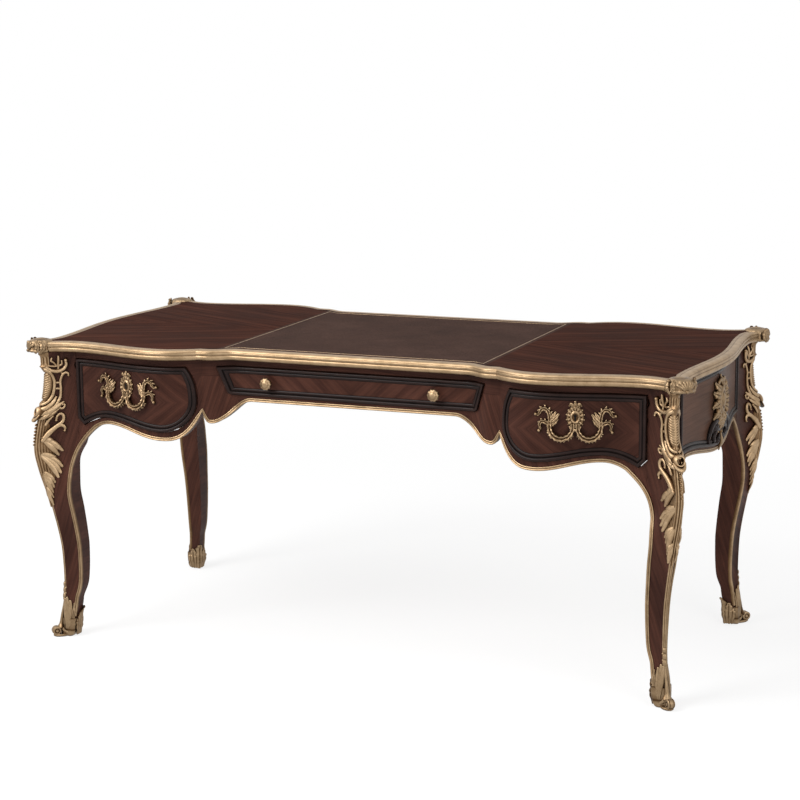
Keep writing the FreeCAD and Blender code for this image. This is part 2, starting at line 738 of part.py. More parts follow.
def leg_heights():
    """Heights of the sections that the leg needs, close enough for the strips to follow it."""
    marks = [FOOT_HEIGHT]
    marks += [row[0] * CASE_TOP for row in SHANK[1:]]
    marks += [FRONT_SPRING_Z, SIDE_SPRING_Z]
    marks += [row[0] * CASE_TOP for row in ARRIS if row[0] * CASE_TOP > SIDE_SPRING_Z + LEG_CANT]
    heights = marks[:1]
    for low, high in zip(marks, marks[1:]):
        count = math.ceil((high - low) / LEG_STEP)
        heights += [low + (high - low) * i / count for i in range(1, count + 1)]
    return heights


def at_corner(point, height):
    """A point given as half depths, at the front right corner."""
    return FreeCAD.Vector(point[0], -point[1], height)


def face_arc(start, end, sag, height):
    """A face's hollow line from start to end, sagging towards the inside of the leg."""
    middle = ((start[0] + end[0]) / 2 - sag[0], (start[1] + end[1]) / 2 - sag[1])
    corners = [at_corner(p, height) for p in (start, middle, end)]
    return Part.Arc(*corners).toShape()


def leg_wire(height):
    s = leg_section(height)
    front_sag = HOLLOW * (s["front_arris"][1] - s["front"][1])
    side_sag = HOLLOW * (s["side_arris"][0] - s["side"][0])
    lines = [("inner", "front"), ("front_arris", "side_arris"), ("side", "inner")]
    back, cant, inside = [curve([at_corner(s[a], height), at_corner(s[b], height)]) for a, b in lines]
    front = face_arc(s["front"], s["front_arris"], (0.0, front_sag), height)
    side = face_arc(s["side_arris"], s["side"], (side_sag, 0.0), height)
    return Part.Wire([back, front, cant, side, inside])


def build_leg():
    """The front right leg, square with the case where it meets the aprons."""
    leg = Part.makeLoft([leg_wire(z) for z in leg_heights()], True, False)
    leg = leg.cut(block((0, -FAR, 0), (LEG_FACE_X, FAR, CASE_TOP)))
    return leg.cut(block((0, -LEG_FACE_Y, 0), (FAR, LEG_FACE_Y, CASE_TOP)))


def corner_loft(sections):
    """A loft through straight-sided sections, each a height and its corners."""
    wires = []
    for height, corners in sections:
        points = [at_corner(p, height) for p in corners]
        wires.append(Part.makePolygon(points + points[:1]))
    return Part.makeLoft(wires, True, True)


def face_point(section, width, proud):
    """A point on the front face, at a distance from the arris, and its twin on the side face."""
    front, arris = section["front"], section["front_arris"]
    slope = (arris[1] - front[1]) / (arris[0] - front[0])
    on_front = (arris[0] - width, arris[1] - slope * width + proud)
    side, arris = section["side"], section["side_arris"]
    slope = (arris[0] - side[0]) / (arris[1] - side[1])
    on_side = (arris[0] - slope * width + proud, arris[1] - width)
    return on_front, on_side


def diagonal(section, distance):
    """A point out from the arris along the leg's diagonal."""
    a, b = section["front_arris"], section["side_arris"]
    step = distance / math.sqrt(2)
    return ((a[0] + b[0]) / 2 + step, (a[1] + b[1]) / 2 + step)


def crown(section, thick):
    """The two corners of a mount that wraps the arris, at a thickness off each face."""
    front, side = section["front_arris"], section["side_arris"]
    return [(front[0], front[1] + thick), (side[0] + thick, side[1])]


def build_knee_mount(leg):
    sections = []
    for share, width, thick in KNEE_MOUNT:
        section = leg_section(share * CASE_TOP)
        on_front, on_side = face_point(section, width, MOUNT_EDGE)
        corners = [on_front] + crown(section, thick) + [on_side, diagonal(section, -MOUNT_ROOT)]
        sections.append((share * CASE_TOP, corners))
    return largest(corner_loft(sections).cut(leg))


def largest(shape):
    """The piece itself, without crumbs that a cut leaves."""
    return max(shape.Solids, key=lambda solid: solid.Volume)


def heights_between(low, high):
    """The leg's own levels between two heights, and those two."""
    return [low] + [z for z in leg_heights() if low + LEG_CANT < z < high - LEG_CANT] + [high]


def build_arris_strip(leg):
    sections = []
    for height in heights_between(SHOE_HEIGHT, KNEE_MOUNT[0][0] * CASE_TOP):
        section = leg_section(height)
        on_front, on_side = face_point(section, STRIP_WIDTH - LEG_CANT / 2, STRIP_PROUD)
        corners = [on_front] + crown(section, STRIP_PROUD) + [on_side, diagonal(section, -MOUNT_ROOT)]
        sections.append((height, corners))
    return largest(corner_loft(sections).cut(leg))


def build_edge_strips(leg, shoe):
    """Gilt strips down the leg's two inner edges, from the aprons into the shoe's rim."""
    front_sections = []
    side_sections = []
    foot = SHOE_HEIGHT - SHOE_SLOPE * SHOE_DEPTH
    for height in heights_between(foot, FRONT_SPRING_Z):
        x, y = leg_section(height)["front"]
        near, far = y + BAND_PROUD, y - MOUNT_ROOT
        start, end = x + EDGE_SET, x + BAND_WIDTH
        front_sections.append((height, [(start, near), (end, near), (end, far), (start, far)]))
    for height in heights_between(foot, SIDE_SPRING_Z):
        x, y = leg_section(height)["side"]
        near, far = x + BAND_PROUD, x - MOUNT_ROOT
        start, end = y + EDGE_SET, y + BAND_WIDTH
        side_sections.append((height, [(near, start), (near, end), (far, end), (far, start)]))
    both = (front_sections, side_sections)
    return [largest(corner_loft(sections).cut(leg).cut(shoe)) for sections in both]


def build_shoe(leg):
    """The gilt shoe with its scrolled toe and sloping rim."""
    sections = []
    for height in [0.0] + heights_between(FOOT_HEIGHT, SHOE_HEIGHT):
        s = leg_section(height)
        share = min((SHOE_HEIGHT - height) / (SHOE_HEIGHT - FOOT_HEIGHT), 1.0)
        wall = SHOE_RIM_WALL + (SHOE_WALL - SHOE_RIM_WALL) * share**2
        x_in, y_in = s["inner"][0] - wall, s["inner"][1] - wall
        x_out, y_out = s["side_arris"][0] + wall, s["front_arris"][1] + wall
        sections.append((height, [(x_in, y_in), (x_in, y_out), (x_out, y_out), (x_out, y_in)]))
    shoe = corner_loft(sections)
    foot = leg_section(FOOT_HEIGHT)
    along_toe = FreeCAD.Vector(1, 1, 0).normalize()
    toe_at = at_corner(diagonal(foot, TOE_REACH), TOE_RADIUS) - along_toe * (TOE_LENGTH / 2)
    toe = Part.makeCylinder(TOE_RADIUS, TOE_LENGTH, toe_at, along_toe)
    rim = leg_section(SHOE_HEIGHT)
    top = SHOE_HEIGHT + 2 * SHOE_DEPTH
    slope = [(depth, SHOE_HEIGHT - SHOE_SLOPE * depth) for depth in (-SHOE_DEPTH, 2 * SHOE_DEPTH)]
    profile = slope + [(2 * SHOE_DEPTH, top), (-SHOE_DEPTH, top)]
    corners = [at_corner(diagonal(rim, -depth), height) for depth, height in profile]
    shift = along_toe * (2 * SHOE_DEPTH)
    above = Part.Face(Part.makePolygon([c - shift for c in corners + corners[:1]])).extrude(shift * 2)
    return largest(shoe.cut(above).fuse(toe).cut(leg).removeSplitter())


def at_all_corners(shape):
    """A piece of the front right corner and its three twins: front left, back right, back left."""
    back = flipped_y(shape)
    right = {"front_right": shape, "back_right": back}
    return right | {"front_left": flipped_x(shape), "back_left": flipped_x(back)}


def build_legs():
    """The legs with their gilt; the strips that carry the apron bands on are returned."""
    leg = build_leg()
    shoe = build_shoe(leg)
    for kind, piece in (("leg_", leg), ("knee_mount_", build_knee_mount(leg)), ("shoe_", shoe)):
        for name, shape in at_all_corners(piece).items():
            save(kind + name, shape)
    save("leg_strips", *at_all_corners(build_arris_strip(leg)).values())
    return build_edge_strips(leg, shoe)


# Case

def build_front_frame():
    """Rails and posts round the three drawer fronts."""
    wall = front_strip(0.0, -BOARD).common(through_front(region_above(lower_edge())))
    side_opening = through_front(moved_in(side_front_runs(), -DRAWER_GAP))
    centre_opening = through_front(moved_in(centre_front_runs(), -DRAWER_GAP))
    for opening in (side_opening, flipped_x(side_opening), centre_opening):
        wall = wall.cut(opening)
    rail = wall.common(block((-LEG_FACE_X, -FAR, SPLIT_HEIGHT), (LEG_FACE_X, 0, CASE_TOP)))
    save("front_top_rail", rail)
    save("front_centre_rail", wall.common(block((-CENTRE_HALF, -FAR, 0), (CENTRE_HALF, 0, SPLIT_HEIGHT))))
    post = wall.common(block((CENTRE_HALF, -FAR, 0), (POST_END_X, 0, SPLIT_HEIGHT)))
    save("front_post_right", post)
    save("front_post_left", flipped_x(post))
    low_rail = wall.common(block((POST_END_X, -FAR, 0), (LEG_FACE_X, 0, SPLIT_HEIGHT)))
    save("front_rail_right", low_rail)
    save("front_rail_left", flipped_x(low_rail))


def build_aprons(edge_strips):
    """Back and side aprons, and the gilt bands along every lower edge."""
    front_strip_right, side_strip_front = edge_strips
    back = flipped_y(front_strip(0.0, -BOARD)).common(through_front(region_above(lower_edge())))
    save("back_apron", back.common(block((-LEG_FACE_X, 0, 0), (LEG_FACE_X, FAR, CASE_TOP))))
    side = side_strip(0.0, -BOARD).common(through_side(region_above(side_lower_edge())))
    save("side_apron_right", side)
    save("side_apron_left", flipped_x(side))
    between = block((-LEG_FACE_X, -FAR, 0), (LEG_FACE_X, 0, CASE_TOP))
    band = front_strip(BAND_PROUD, 0.0).common(through_front(band_above(lower_edge(), BAND_WIDTH)))
    front_set = [band.common(between), front_strip_right, flipped_x(front_strip_right)]
    save("apron_band_front", *front_set)
    save("apron_band_back", *[flipped_y(piece) for piece in front_set])
    between = block((0, -LEG_FACE_Y, 0), (FAR, LEG_FACE_Y, CASE_TOP))
    band = side_strip(BAND_PROUD, 0.0).common(through_side(band_above(side_lower_edge(), BAND_WIDTH)))
    side_set = [band.common(between), side_strip_front, flipped_y(side_strip_front)]
    save("apron_band_right", *side_set)
    save("apron_band_left", *[flipped_x(piece) for piece in side_set])


def stepped_frame(runs, strip, through, base):
    """The dark double moulding round a panel, standing on a face at the reach called base."""
    steps = []
    for inset, proud in ((0.0, MOULDING_HIGH), (MOULDING_WIDTH, MOULDING_LOW)):
        ring = frame_between(runs, inset, inset + MOULDING_WIDTH, through)
        steps.append(ring.common(strip(base + proud, base)))
    return steps[0].fuse(steps[1]).removeSplitter()


def build_panels():
    """Mouldings of the fixed panels on the sides and the back, and the gilt mount on each side."""
    mount = build_side_mount()
    right = stepped_frame(side_panel_runs(), side_strip, through_side, 0.0)
    right = right.cut(through_side(oval_runs(0.0))).cut(through_side(leaf_runs()))
    save("side_panel_mouldings", right, flipped_x(right))
    save("side_mounts", mount, flipped_x(mount))
    behind = [
        flipped_y(stepped_frame(centre_front_runs(), front_strip, through_front, 0.0)),
        flipped_y(stepped_frame(side_front_runs(), front_strip, through_front, 0.0)),
    ]
    save("back_panel_mouldings", behind[0], behind[1], flipped_x(behind[1]))


def oval_runs(inset):
    """The oval of the side mount, walked anticlockwise seen from the right."""
    half_wide = CARTOUCHE_WIDE / 2 - inset
    half_tall = CARTOUCHE_TALL / 2 - inset
    centre = CASE_TOP - CARTOUCHE_TOP_GAP - CARTOUCHE_TALL / 2
    low = quarter((0.0, centre - half_tall), (half_wide, centre))
    high = backwards(quarter((0.0, centre + half_tall), (half_wide, centre)))
    return [low, high, mirrored(high), mirrored(low)]


def leaf_runs():
    """The leaf under the oval, pointed at the gilt band."""
    root = CASE_TOP - CARTOUCHE_TOP_GAP - CARTOUCHE_TALL / 2
    tip = SIDE_LOW_Z + BAND_WIDTH
    edge = backwards(swell((LEAF_WIDE / 2, root), (0.0, tip), 2.0))
    return [edge, [edge[-1], mirrored(edge)[0]], mirrored(edge)]


def build_side_mount():
    """Gilt oval boss with a leaf hanging under it, on the right side apron."""
    rim = side_strip(CARTOUCHE_PROUD, 0.0).common(through_side(oval_runs(0.0)))
    crown = side_strip(CARTOUCHE_CROWN, 0.0).common(through_side(oval_runs(CARTOUCHE_RIM)))
    leaf = side_strip(CARTOUCHE_PROUD, 0.0).common(through_side(leaf_runs()))
    return rim.fuse([crown, leaf]).removeSplitter()


def bearings():
    """Where drawer boards run, right of the middle: across, box ends and heights."""
    side_reach = VALLEY_Y - BOARD - JOINT_GAP
    centre_reach = CENTRE_DEPTH - BOARD - JOINT_GAP
    return [
        {"x": (BREAK_X, BOX_IN + BEARING), "reach": side_reach, "low": BOX_LOW, "high": BOX_HIGH,
         "board": (BOX_IN, BOX_IN + DRAWER_BOARD), "back": BOX_BACK},
        {"x": (BOX_OUT - BEARING, LEG_FACE_X), "reach": side_reach, "low": BOX_LOW, "high": BOX_HIGH,
         "board": (BOX_OUT - DRAWER_BOARD, BOX_OUT), "back": BOX_BACK},
        {"x": (CENTRE_BOX_HALF - BEARING, BREAK_X - PANEL), "reach": centre_reach, "low": CENTRE_BOX_LOW,
         "high": CENTRE_BOX_HIGH, "board": (CENTRE_BOX_HALF - DRAWER_BOARD, CENTRE_BOX_HALF),
         "back": CENTRE_BOX_BACK},
    ]


def screw(x, y, kicker_low, spare):
    """A screw up through a kicker into the top; spare widens it into its hole."""
    seat = kicker_low + SCREW_SINK + SCREW_HEAD_HEIGHT
    low = kicker_low if spare else kicker_low + SCREW_SINK
    head = Part.makeCylinder(SCREW_HEAD + spare, seat - low, FreeCAD.Vector(x, y, low))
    length = CASE_TOP + SCREW_BITE + spare - seat
    shank = Part.makeCylinder(SCREW_SHANK + spare, length, FreeCAD.Vector(x, y, seat))
    return head.fuse(shank).removeSplitter()


def build_inner_frame():
    """Partitions, runners, kickers, stops and screws; the screw holes are returned for the top."""
    reach = SHOULDER_Y - BOARD - JOINT_GAP
    partition = block((BREAK_X - PANEL, -reach, CUSP_Z), (BREAK_X, reach, CASE_TOP))
    save("partition_right", partition)
    save("partition_left", flipped_x(partition))
    runners, kickers, stops, screws, holes = [], [], [], [], []
    for row in bearings():
        low_x, high_x = row["x"]
        top = row["low"] - SLIDE_GAP
        kicker_low = row["high"] + KICKER_GAP
        runners.append(block((low_x, -row["reach"], top - RUNNER_HEIGHT), (high_x, row["reach"], top)))
        kicker = block((low_x, -row["reach"], kicker_low), (high_x, row["reach"], CASE_TOP))
        start = row["back"] + SLIDE_GAP
        board = row["board"]
        stops.append(block((board[0], start, top), (board[1], start + STOP_LENGTH, top + STOP_HEIGHT)))
        for y in (-SCREW_Y, SCREW_Y):
            place = ((low_x + high_x) / 2, y, kicker_low)
            screws.append(screw(*place, 0.0))
            holes.append(screw(*place, SCREW_GAP))
            kicker = kicker.cut(holes[-1])
        kickers.append(kicker)
    for name, pieces in (("drawer_runners", runners), ("drawer_kickers", kickers), ("drawer_stops", stops),
                         ("top_screws", screws)):
        save(name, *pieces, *[flipped_x(piece) for piece in pieces])
    return holes + [flipped_x(hole) for hole in holes]


# Drawers

def box_boards(low, high):
    """Two sides and a back, and a bottom let in between them."""
    inner = (low[0] + DRAWER_BOARD, low[1], low[2])
    outer = (high[0] - DRAWER_BOARD, high[1] - DRAWER_BOARD, high[2])
    boards = [
        block(low, (inner[0], high[1], high[2])),
        block((outer[0], low[1], low[2]), high),
        block((inner[0], outer[1], low[2]), (outer[0], high[1], high[2])),
    ]
    floor = low[2] + BOTTOM_LIFT
    bottom = block((inner[0], low[1], floor), (outer[0], outer[1], floor + DRAWER_BOTTOM))
    return boards, bottom


def front_depth(x):
    """Half depth of the side drawer's face between the lobe and the valley."""
    t = (x - LOBE_X) / VALLEY_LENGTH
    return LOBE_Y - VALLEY_STEP * (1 - math.cos(math.pi * t)) / 2 + FRONT_PROUD


def build_pull(front):
    """A gilt pull: two hanging loops, a leaf at each end and a plate in the middle."""
    spread = LOOP_SPREAD + LOOP_RADIUS
    pieces = []
    outward = FreeCAD.Vector(0, -1, 0)
    for side in (-1, 1):
        centre = FreeCAD.Vector(side * LOOP_SPREAD, -PULL_STANDOFF, 0)
        start = centre + FreeCAD.Vector(LOOP_RADIUS, 0, 0)
        ring = Part.Face(Part.Wire(Part.makeCircle(LOOP_WIRE, start, FreeCAD.Vector(0, 0, 1))))
        pieces.append(ring.revolve(centre, FreeCAD.Vector(0, 1, 0), 180))
        for end in (-1, 1):
            root = FreeCAD.Vector(side * LOOP_SPREAD + end * LOOP_RADIUS, PULL_ROOT, 0)
            pieces.append(Part.makeCylinder(PULL_POST, PULL_ROOT + PULL_STANDOFF, root, outward))
            pieces.append(Part.makeSphere(PULL_POST, root + outward * (PULL_ROOT + PULL_STANDOFF)))
        leaf_root = FreeCAD.Vector(side * spread, -PULL_STANDOFF, 0)
        lean = FreeCAD.Vector(side * LEAF_LEAN, 0, LEAF_LENGTH)
        pieces.append(Part.makeCone(LEAF_ROOT, LEAF_TIP, LEAF_LENGTH, leaf_root, lean))
    oval = Part.Ellipse(FreeCAD.Vector(0, 0, 0), SCUTCHEON_TALL / 2, SCUTCHEON_WIDE / 2).toShape()
    plate = Part.Face(Part.Wire(oval)).extrude(FreeCAD.Vector(0, 0, PULL_ROOT + SCUTCHEON_THICK))
    plate.rotate(FreeCAD.Vector(0, 0, 0), FreeCAD.Vector(0, 0, 1), 90)
    plate.rotate(FreeCAD.Vector(0, 0, 0), FreeCAD.Vector(1, 0, 0), 90)
    plate.translate(FreeCAD.Vector(0, PULL_ROOT, SCUTCHEON_RISE))
    pull = plate.fuse(pieces)
    rise = front_depth(PULL_X - spread) - front_depth(PULL_X + spread)
    turn = math.degrees(math.atan2(rise, 2 * spread))
    pull.rotate(FreeCAD.Vector(0, 0, 0), FreeCAD.Vector(0, 0, 1), turn)
    pull.translate(FreeCAD.Vector(PULL_X, -front_depth(PULL_X), PULL_Z))
    behind = block((0, -BOX_FRONT, 0), (FAR, FAR, CASE_TOP))
    return largest(pull.cut(behind).cut(front).removeSplitter())


def build_side_drawers():
    runs = side_front_runs()
    front = front_slab(FRONT_PROUD, BOX_FRONT).common(through_front(runs))
    frame = stepped_frame(runs, front_strip, through_front, FRONT_PROUD)
    boards, bottom = box_boards((BOX_IN, -BOX_FRONT, BOX_LOW), (BOX_OUT, BOX_BACK, BOX_HIGH))
    lock_top = FRONT_TOP - LOCK_FALL
    lock = block((PULL_X - LOCK_WIDE / 2, -BOX_FRONT, lock_top - LOCK_TALL),
                 (PULL_X + LOCK_WIDE / 2, -BOX_FRONT + LOCK_THICK, lock_top))
    pieces = {"front": [front], "moulding": [frame], "boards": boards, "bottom": [bottom],
              "pull": [build_pull(front)], "lock": [lock]}
    for name, shapes in pieces.items():
        save("right_drawer_" + name, *shapes)
        save("left_drawer_" + name, *[flipped_x(shape) for shape in shapes])


def build_knob():
    """A turned knob standing out of the middle drawer's front."""
    waist = KNOB_NECK
    tip = KNOB_NECK + KNOB_HEAD
    stem = [FreeCAD.Vector(0, 0, 0), FreeCAD.Vector(KNOB_STEM, 0, 0), FreeCAD.Vector(KNOB_STEM, 0, waist)]
    cheek = FreeCAD.Vector(KNOB_RADIUS, 0, waist + KNOB_HEAD / 2)
    end = FreeCAD.Vector(0, 0, tip)
    edges = [Part.LineSegment(stem[0], stem[1]).toShape(), Part.LineSegment(stem[1], stem[2]).toShape()]
    edges.append(Part.Arc(stem[2], cheek, FreeCAD.Vector(KNOB_STEM, 0, tip)).toShape())
    edges.append(Part.LineSegment(FreeCAD.Vector(KNOB_STEM, 0, tip), end).toShape())
    edges.append(Part.LineSegment(end, stem[0]).toShape())
    knob = Part.Face(Part.Wire(edges)).revolve(FreeCAD.Vector(0, 0, 0), FreeCAD.Vector(0, 0, 1), 360)
    knob.rotate(FreeCAD.Vector(0, 0, 0), FreeCAD.Vector(1, 0, 0), 90)
    knob.translate(FreeCAD.Vector(KNOB_X, -CENTRE_DEPTH - FRONT_PROUD, CENTRE_BOTTOM + KNOB_RISE))
    return knob


def build_centre_drawer():
    runs = centre_front_runs()
    front = front_slab(FRONT_PROUD, CENTRE_BOX_FRONT).common(through_front(runs))
    save("centre_drawer_front", front)
    save("centre_drawer_moulding", stepped_frame(runs, front_strip, through_front, FRONT_PROUD))
    low = (-CENTRE_BOX_HALF, -CENTRE_BOX_FRONT, CENTRE_BOX_LOW)
    boards, bottom = box_boards(low, (CENTRE_BOX_HALF, CENTRE_BOX_BACK, CENTRE_BOX_HIGH))
    save("centre_drawer_boards", *boards)
    save("centre_drawer_bottom", bottom)
    knob = build_knob()
    save("centre_drawer_knobs", knob, flipped_x(knob))


os.makedirs("parts", exist_ok=True)
build_top(build_inner_frame())
build_front_frame()
build_aprons(build_legs())
build_panels()
build_side_drawers()
build_centre_drawer()
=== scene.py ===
import math

import bmesh
import bpy
from mathutils import Matrix, Vector
from mathutils.bvhtree import BVHTree


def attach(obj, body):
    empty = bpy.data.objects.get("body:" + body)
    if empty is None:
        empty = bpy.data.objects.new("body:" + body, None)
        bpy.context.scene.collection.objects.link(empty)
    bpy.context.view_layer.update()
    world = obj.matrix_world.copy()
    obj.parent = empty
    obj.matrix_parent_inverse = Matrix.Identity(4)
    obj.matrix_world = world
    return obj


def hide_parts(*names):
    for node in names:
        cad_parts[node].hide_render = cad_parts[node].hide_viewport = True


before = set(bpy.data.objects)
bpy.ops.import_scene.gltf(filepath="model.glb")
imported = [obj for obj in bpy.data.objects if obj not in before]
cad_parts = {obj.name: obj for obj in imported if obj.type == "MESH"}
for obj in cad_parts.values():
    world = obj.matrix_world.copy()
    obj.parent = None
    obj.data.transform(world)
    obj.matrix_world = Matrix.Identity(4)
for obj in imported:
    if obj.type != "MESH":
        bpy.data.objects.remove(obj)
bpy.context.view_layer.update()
scene = bpy.context.scene

# All sizes are in millimetres and become metres where a mesh is made
MM = 0.001

# Outline of the case seen from above: half depth along x, half width along y
CENTRE_HALF = 305.0
CENTRE_DEPTH = 319.0
SHOULDER_X = 370.0
SHOULDER_DEPTH = 347.0
BREAK_X = 391.0
LOBE_X = 497.0
LOBE_DEPTH = 387.0
VALLEY_X = 735.0
VALLEY_DEPTH = 346.0
EAR_X = 818.0
EAR_DEPTH = 376.0
SIDE_MIDDLE = 827.0
SIDE_WAIST_Y = 305.0
SIDE_WAIST = 803.0
SIDE_EAR_Y = 368.0
SIDE_EAR = 828.0

# Heights
FRONT_TOP = 730.0
CENTRE_TOP = 731.5
CENTRE_BOTTOM = 660.5
TABLE_TOP = 775.0

# Drawer faces stand this far out from the case
FACE_REACH = 2.0

# Legs: the arris runs along the diagonal on which x exceeds the depth by this much
ARRIS_DIAGONAL = 439.4
CORNER_ROUND = 12.0
CORNER_EASE = 4.0
LEG_LOW = 34.0
LEG_HIGH = 747.0
OUTWARD = Vector((1, -1, 0)).normalized()
ACROSS = Vector((1, 1, 0)).normalized()

# Rays that look for the leg start this far off, for ornament and for the bands
ORNAMENT_RAY = 700.0
BAND_RAY = 900.0
DRAW_IN = 0.94  # a place past the leg's face is drawn in by this share until it meets wood

# Axes along which the front right corner is mirrored to each corner
CORNERS = {"front_right": "", "front_left": "x", "back_right": "y", "back_left": "xy"}


def ease(t):
    """Cosine step from 0 to 1."""
    return (1 - math.cos(math.pi * t)) / 2


def blend(start, stop, t):
    """Value between two others."""
    return start + (stop - start) * t


def part_way(value, start, stop):
    """How far a value is from start to stop, from 0 to 1."""
    return (value - start) / (stop - start)


def steps(start, stop, count):
    """Evenly spaced values from start to stop."""
    return [start + (stop - start) * i / count for i in range(count + 1)]


def turns(count):
    """Evenly spaced angles of a full turn."""
    return [2 * math.pi * i / count for i in range(count)]


def half_depth(x):
    """Half depth of the case at x."""
    x = abs(x)
    if x <= CENTRE_HALF:
        return CENTRE_DEPTH
    if x <= SHOULDER_X:
        return blend(CENTRE_DEPTH, SHOULDER_DEPTH, ease(part_way(x, CENTRE_HALF, SHOULDER_X)))
    if x <= BREAK_X:
        return SHOULDER_DEPTH
    if x <= LOBE_X:
        return blend(LOBE_DEPTH, SHOULDER_DEPTH, part_way(x, LOBE_X, BREAK_X) ** 2)
    if x <= VALLEY_X:
        return blend(LOBE_DEPTH, VALLEY_DEPTH, ease(part_way(x, LOBE_X, VALLEY_X)))
    return blend(VALLEY_DEPTH, EAR_DEPTH, part_way(x, VALLEY_X, EAR_X) ** 2)


def half_width(y):
    """Half width of the case at y."""
    y = abs(y)
    if y <= SIDE_WAIST_Y:
        return blend(SIDE_MIDDLE, SIDE_WAIST, ease(y / SIDE_WAIST_Y))
    return blend(SIDE_WAIST, SIDE_EAR, part_way(y, SIDE_WAIST_Y, SIDE_EAR_Y) ** 2)


def mirrored(half):
    """A whole profile of (across, up, tone) from its first half, which may end on the middle."""
    return half + tuple((-across, up, tone) for across, up, tone in reversed(half) if across)


# Mesh building
class Shape:
    """Points in millimetres with a tone each (1 on crests, 0 in hollows), which the gilt and black materials
    turn into painted shade in the hollows, and the faces between them.
    """

    def __init__(self):
        self.points = []
        self.tones = []
        self.faces = []

    def row(self, points, tones):
        """Adds a row of points and gives back their numbers."""
        first = len(self.points)
        self.points.extend(Vector(point) for point in points)
        self.tones.extend(tones)
        return list(range(first, len(self.points)))

    def skin(self, rows):
        """Joins closed rows of equal length with quads."""
        for low, high in zip(rows, rows[1:]):
            for i in range(len(low)):
                j = (i + 1) % len(low)
                self.faces.append((low[i], low[j], high[j], high[i]))

    def tube(self, rows):
        """Joins closed rows and closes both ends."""
        self.skin(rows)
        self.faces.extend((tuple(rows[0]), tuple(rows[-1])))
        return self

    def sweep(self, stations, profile, point):
        """A tube with a row at each station, where point sets the profile's (a, b, tone)."""
        tones = [tone for _, _, tone in profile]
        rows = [self.row([point(station, a, b) for a, b, _ in profile], tones) for station in stations]
        return self.tube(rows)

    def stack(self, profile, around, point):
        """A tube with a row at each (a, b, tone) of the profile, where point sets each place around it."""
        return self.tube([self.row([point(turn, a, b) for turn in around], [tone] * len(around))
                          for a, b, tone in profile])

    def add(self, other, flip=""):
        """Takes in another shape, mirrored along the axes that flip names."""
        first = len(self.points)
        signs = Vector((-1 if "x" in flip else 1, -1 if "y" in flip else 1, 1))
        self.points.extend(point * signs for point in other.points)
        self.tones.extend(other.tones)
        self.faces.extend(tuple(first + i for i in face) for face in other.faces)
        return self

    def copies(self, *flips):
        """A new shape of mirrored copies of this one."""
        made = Shape()
        for flip in flips:
            made.add(self, flip)
        return made

    def piece(self, name, body, finish, nodes=(), crease=38.0):
        """Makes the object, which rides on a body and stands for the CAD nodes named."""
        material, slot = finish
        mesh = bpy.data.meshes.new(name)
        mesh.from_pydata([p * MM for p in self.points], [], self.faces)
        mesh.attributes.new("tone", "FLOAT", "POINT").data.foreach_set("value", self.tones)
        work = bmesh.new()
        work.from_mesh(mesh)
        bmesh.ops.recalc_face_normals(work, faces=work.faces)
        work.to_mesh(mesh)
        work.free()
        mesh.shade_smooth()
        mesh.set_sharp_from_angle(angle=math.radians(crease))
        mesh.materials.append(material)
        made = bpy.data.objects.new(name, mesh)
        scene.collection.objects.link(made)
        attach(made, body)
        if nodes:
            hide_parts(*nodes)


def at_corners(shape, stem, finish, replaced):
    """Mirrors a front right shape to all four corners, each standing for its own CAD node."""
    for corner, flip in CORNERS.items():
        shape.copies(flip).piece(f"{stem}_{corner}", "table", finish, [f"{replaced}_{corner}"])


def on_both_drawers(shape, stem, finish, replaced=""):
    """Puts a right drawer's shape on both side drawers, in place of their CAD nodes if one is named."""
    for hand, flip in (("right", ""), ("left", "x")):
        nodes = [f"{hand}_drawer_{replaced}"] if replaced else []
        shape.copies(flip).piece(f"{stem}_{hand}", f"{hand}_drawer", finish, nodes)


# Placing ornament on the case and the legs: along the surface, up, and height off it
def on_front(x, z, height):
    """A point on the front, height measured square to the face."""
    slope = (half_depth(x + 1) - half_depth(x - 1)) / 2
    normal = Vector((-slope, -1, 0)).normalized()
    return Vector((x, -half_depth(x), z)) + normal * height


def on_side(y, z, height):
    """A point on the right side, height measured square to the face."""
    slope = (half_width(y + 1) - half_width(y - 1)) / 2
    normal = Vector((1, -slope, 0)).normalized()
    return Vector((half_width(y), y, z)) + normal * height


def front_shift(base):
    """Points on the front at a reach, moved straight forwards as the faces are."""
    return lambda x, z, height: Vector((x, -half_depth(x) - base - height, z))


def side_shift(y, z, height):
    """Points on the right side, moved straight outwards."""
    return Vector((half_width(y) + height, y, z))


def leg_finder():
    """A function that gives the point and the normal where a ray meets the front right leg, or None."""
    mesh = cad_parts["leg_front_right"].data
    tree = BVHTree.FromPolygons([v.co for v in mesh.vertices], [tuple(p.vertices) for p in mesh.polygons])

    def hit(origin, direction):
        point, normal, _, _ = tree.ray_cast(Vector(origin) * MM, Vector(direction).normalized())
        return None if point is None else (point / MM, normal)

    return hit


hit_leg = leg_finder()
arris_points = {}


def arris(z):
    """The point of the leg's arris at a height."""
    key = round(z, 1)
    if key not in arris_points:
        arris_points[key] = hit_leg((ARRIS_DIAGONAL + ORNAMENT_RAY, -ORNAMENT_RAY, z), (-1, 1, 0))[0]
    return arris_points[key]


def leg_face(u, z):
    """The point and the normal on the leg's front, or on its side where u is below 0."""
    corner = arris(z)
    found = None
    while found is None:
        if u > 0:
            found = hit_leg((corner.x + CORNER_EASE - u, -ORNAMENT_RAY, z), (0, 1, 0))
        else:
            found = hit_leg((2 * ORNAMENT_RAY, corner.y - CORNER_EASE - u, z), (-1, 0, 0))
        u *= DRAW_IN
    return found


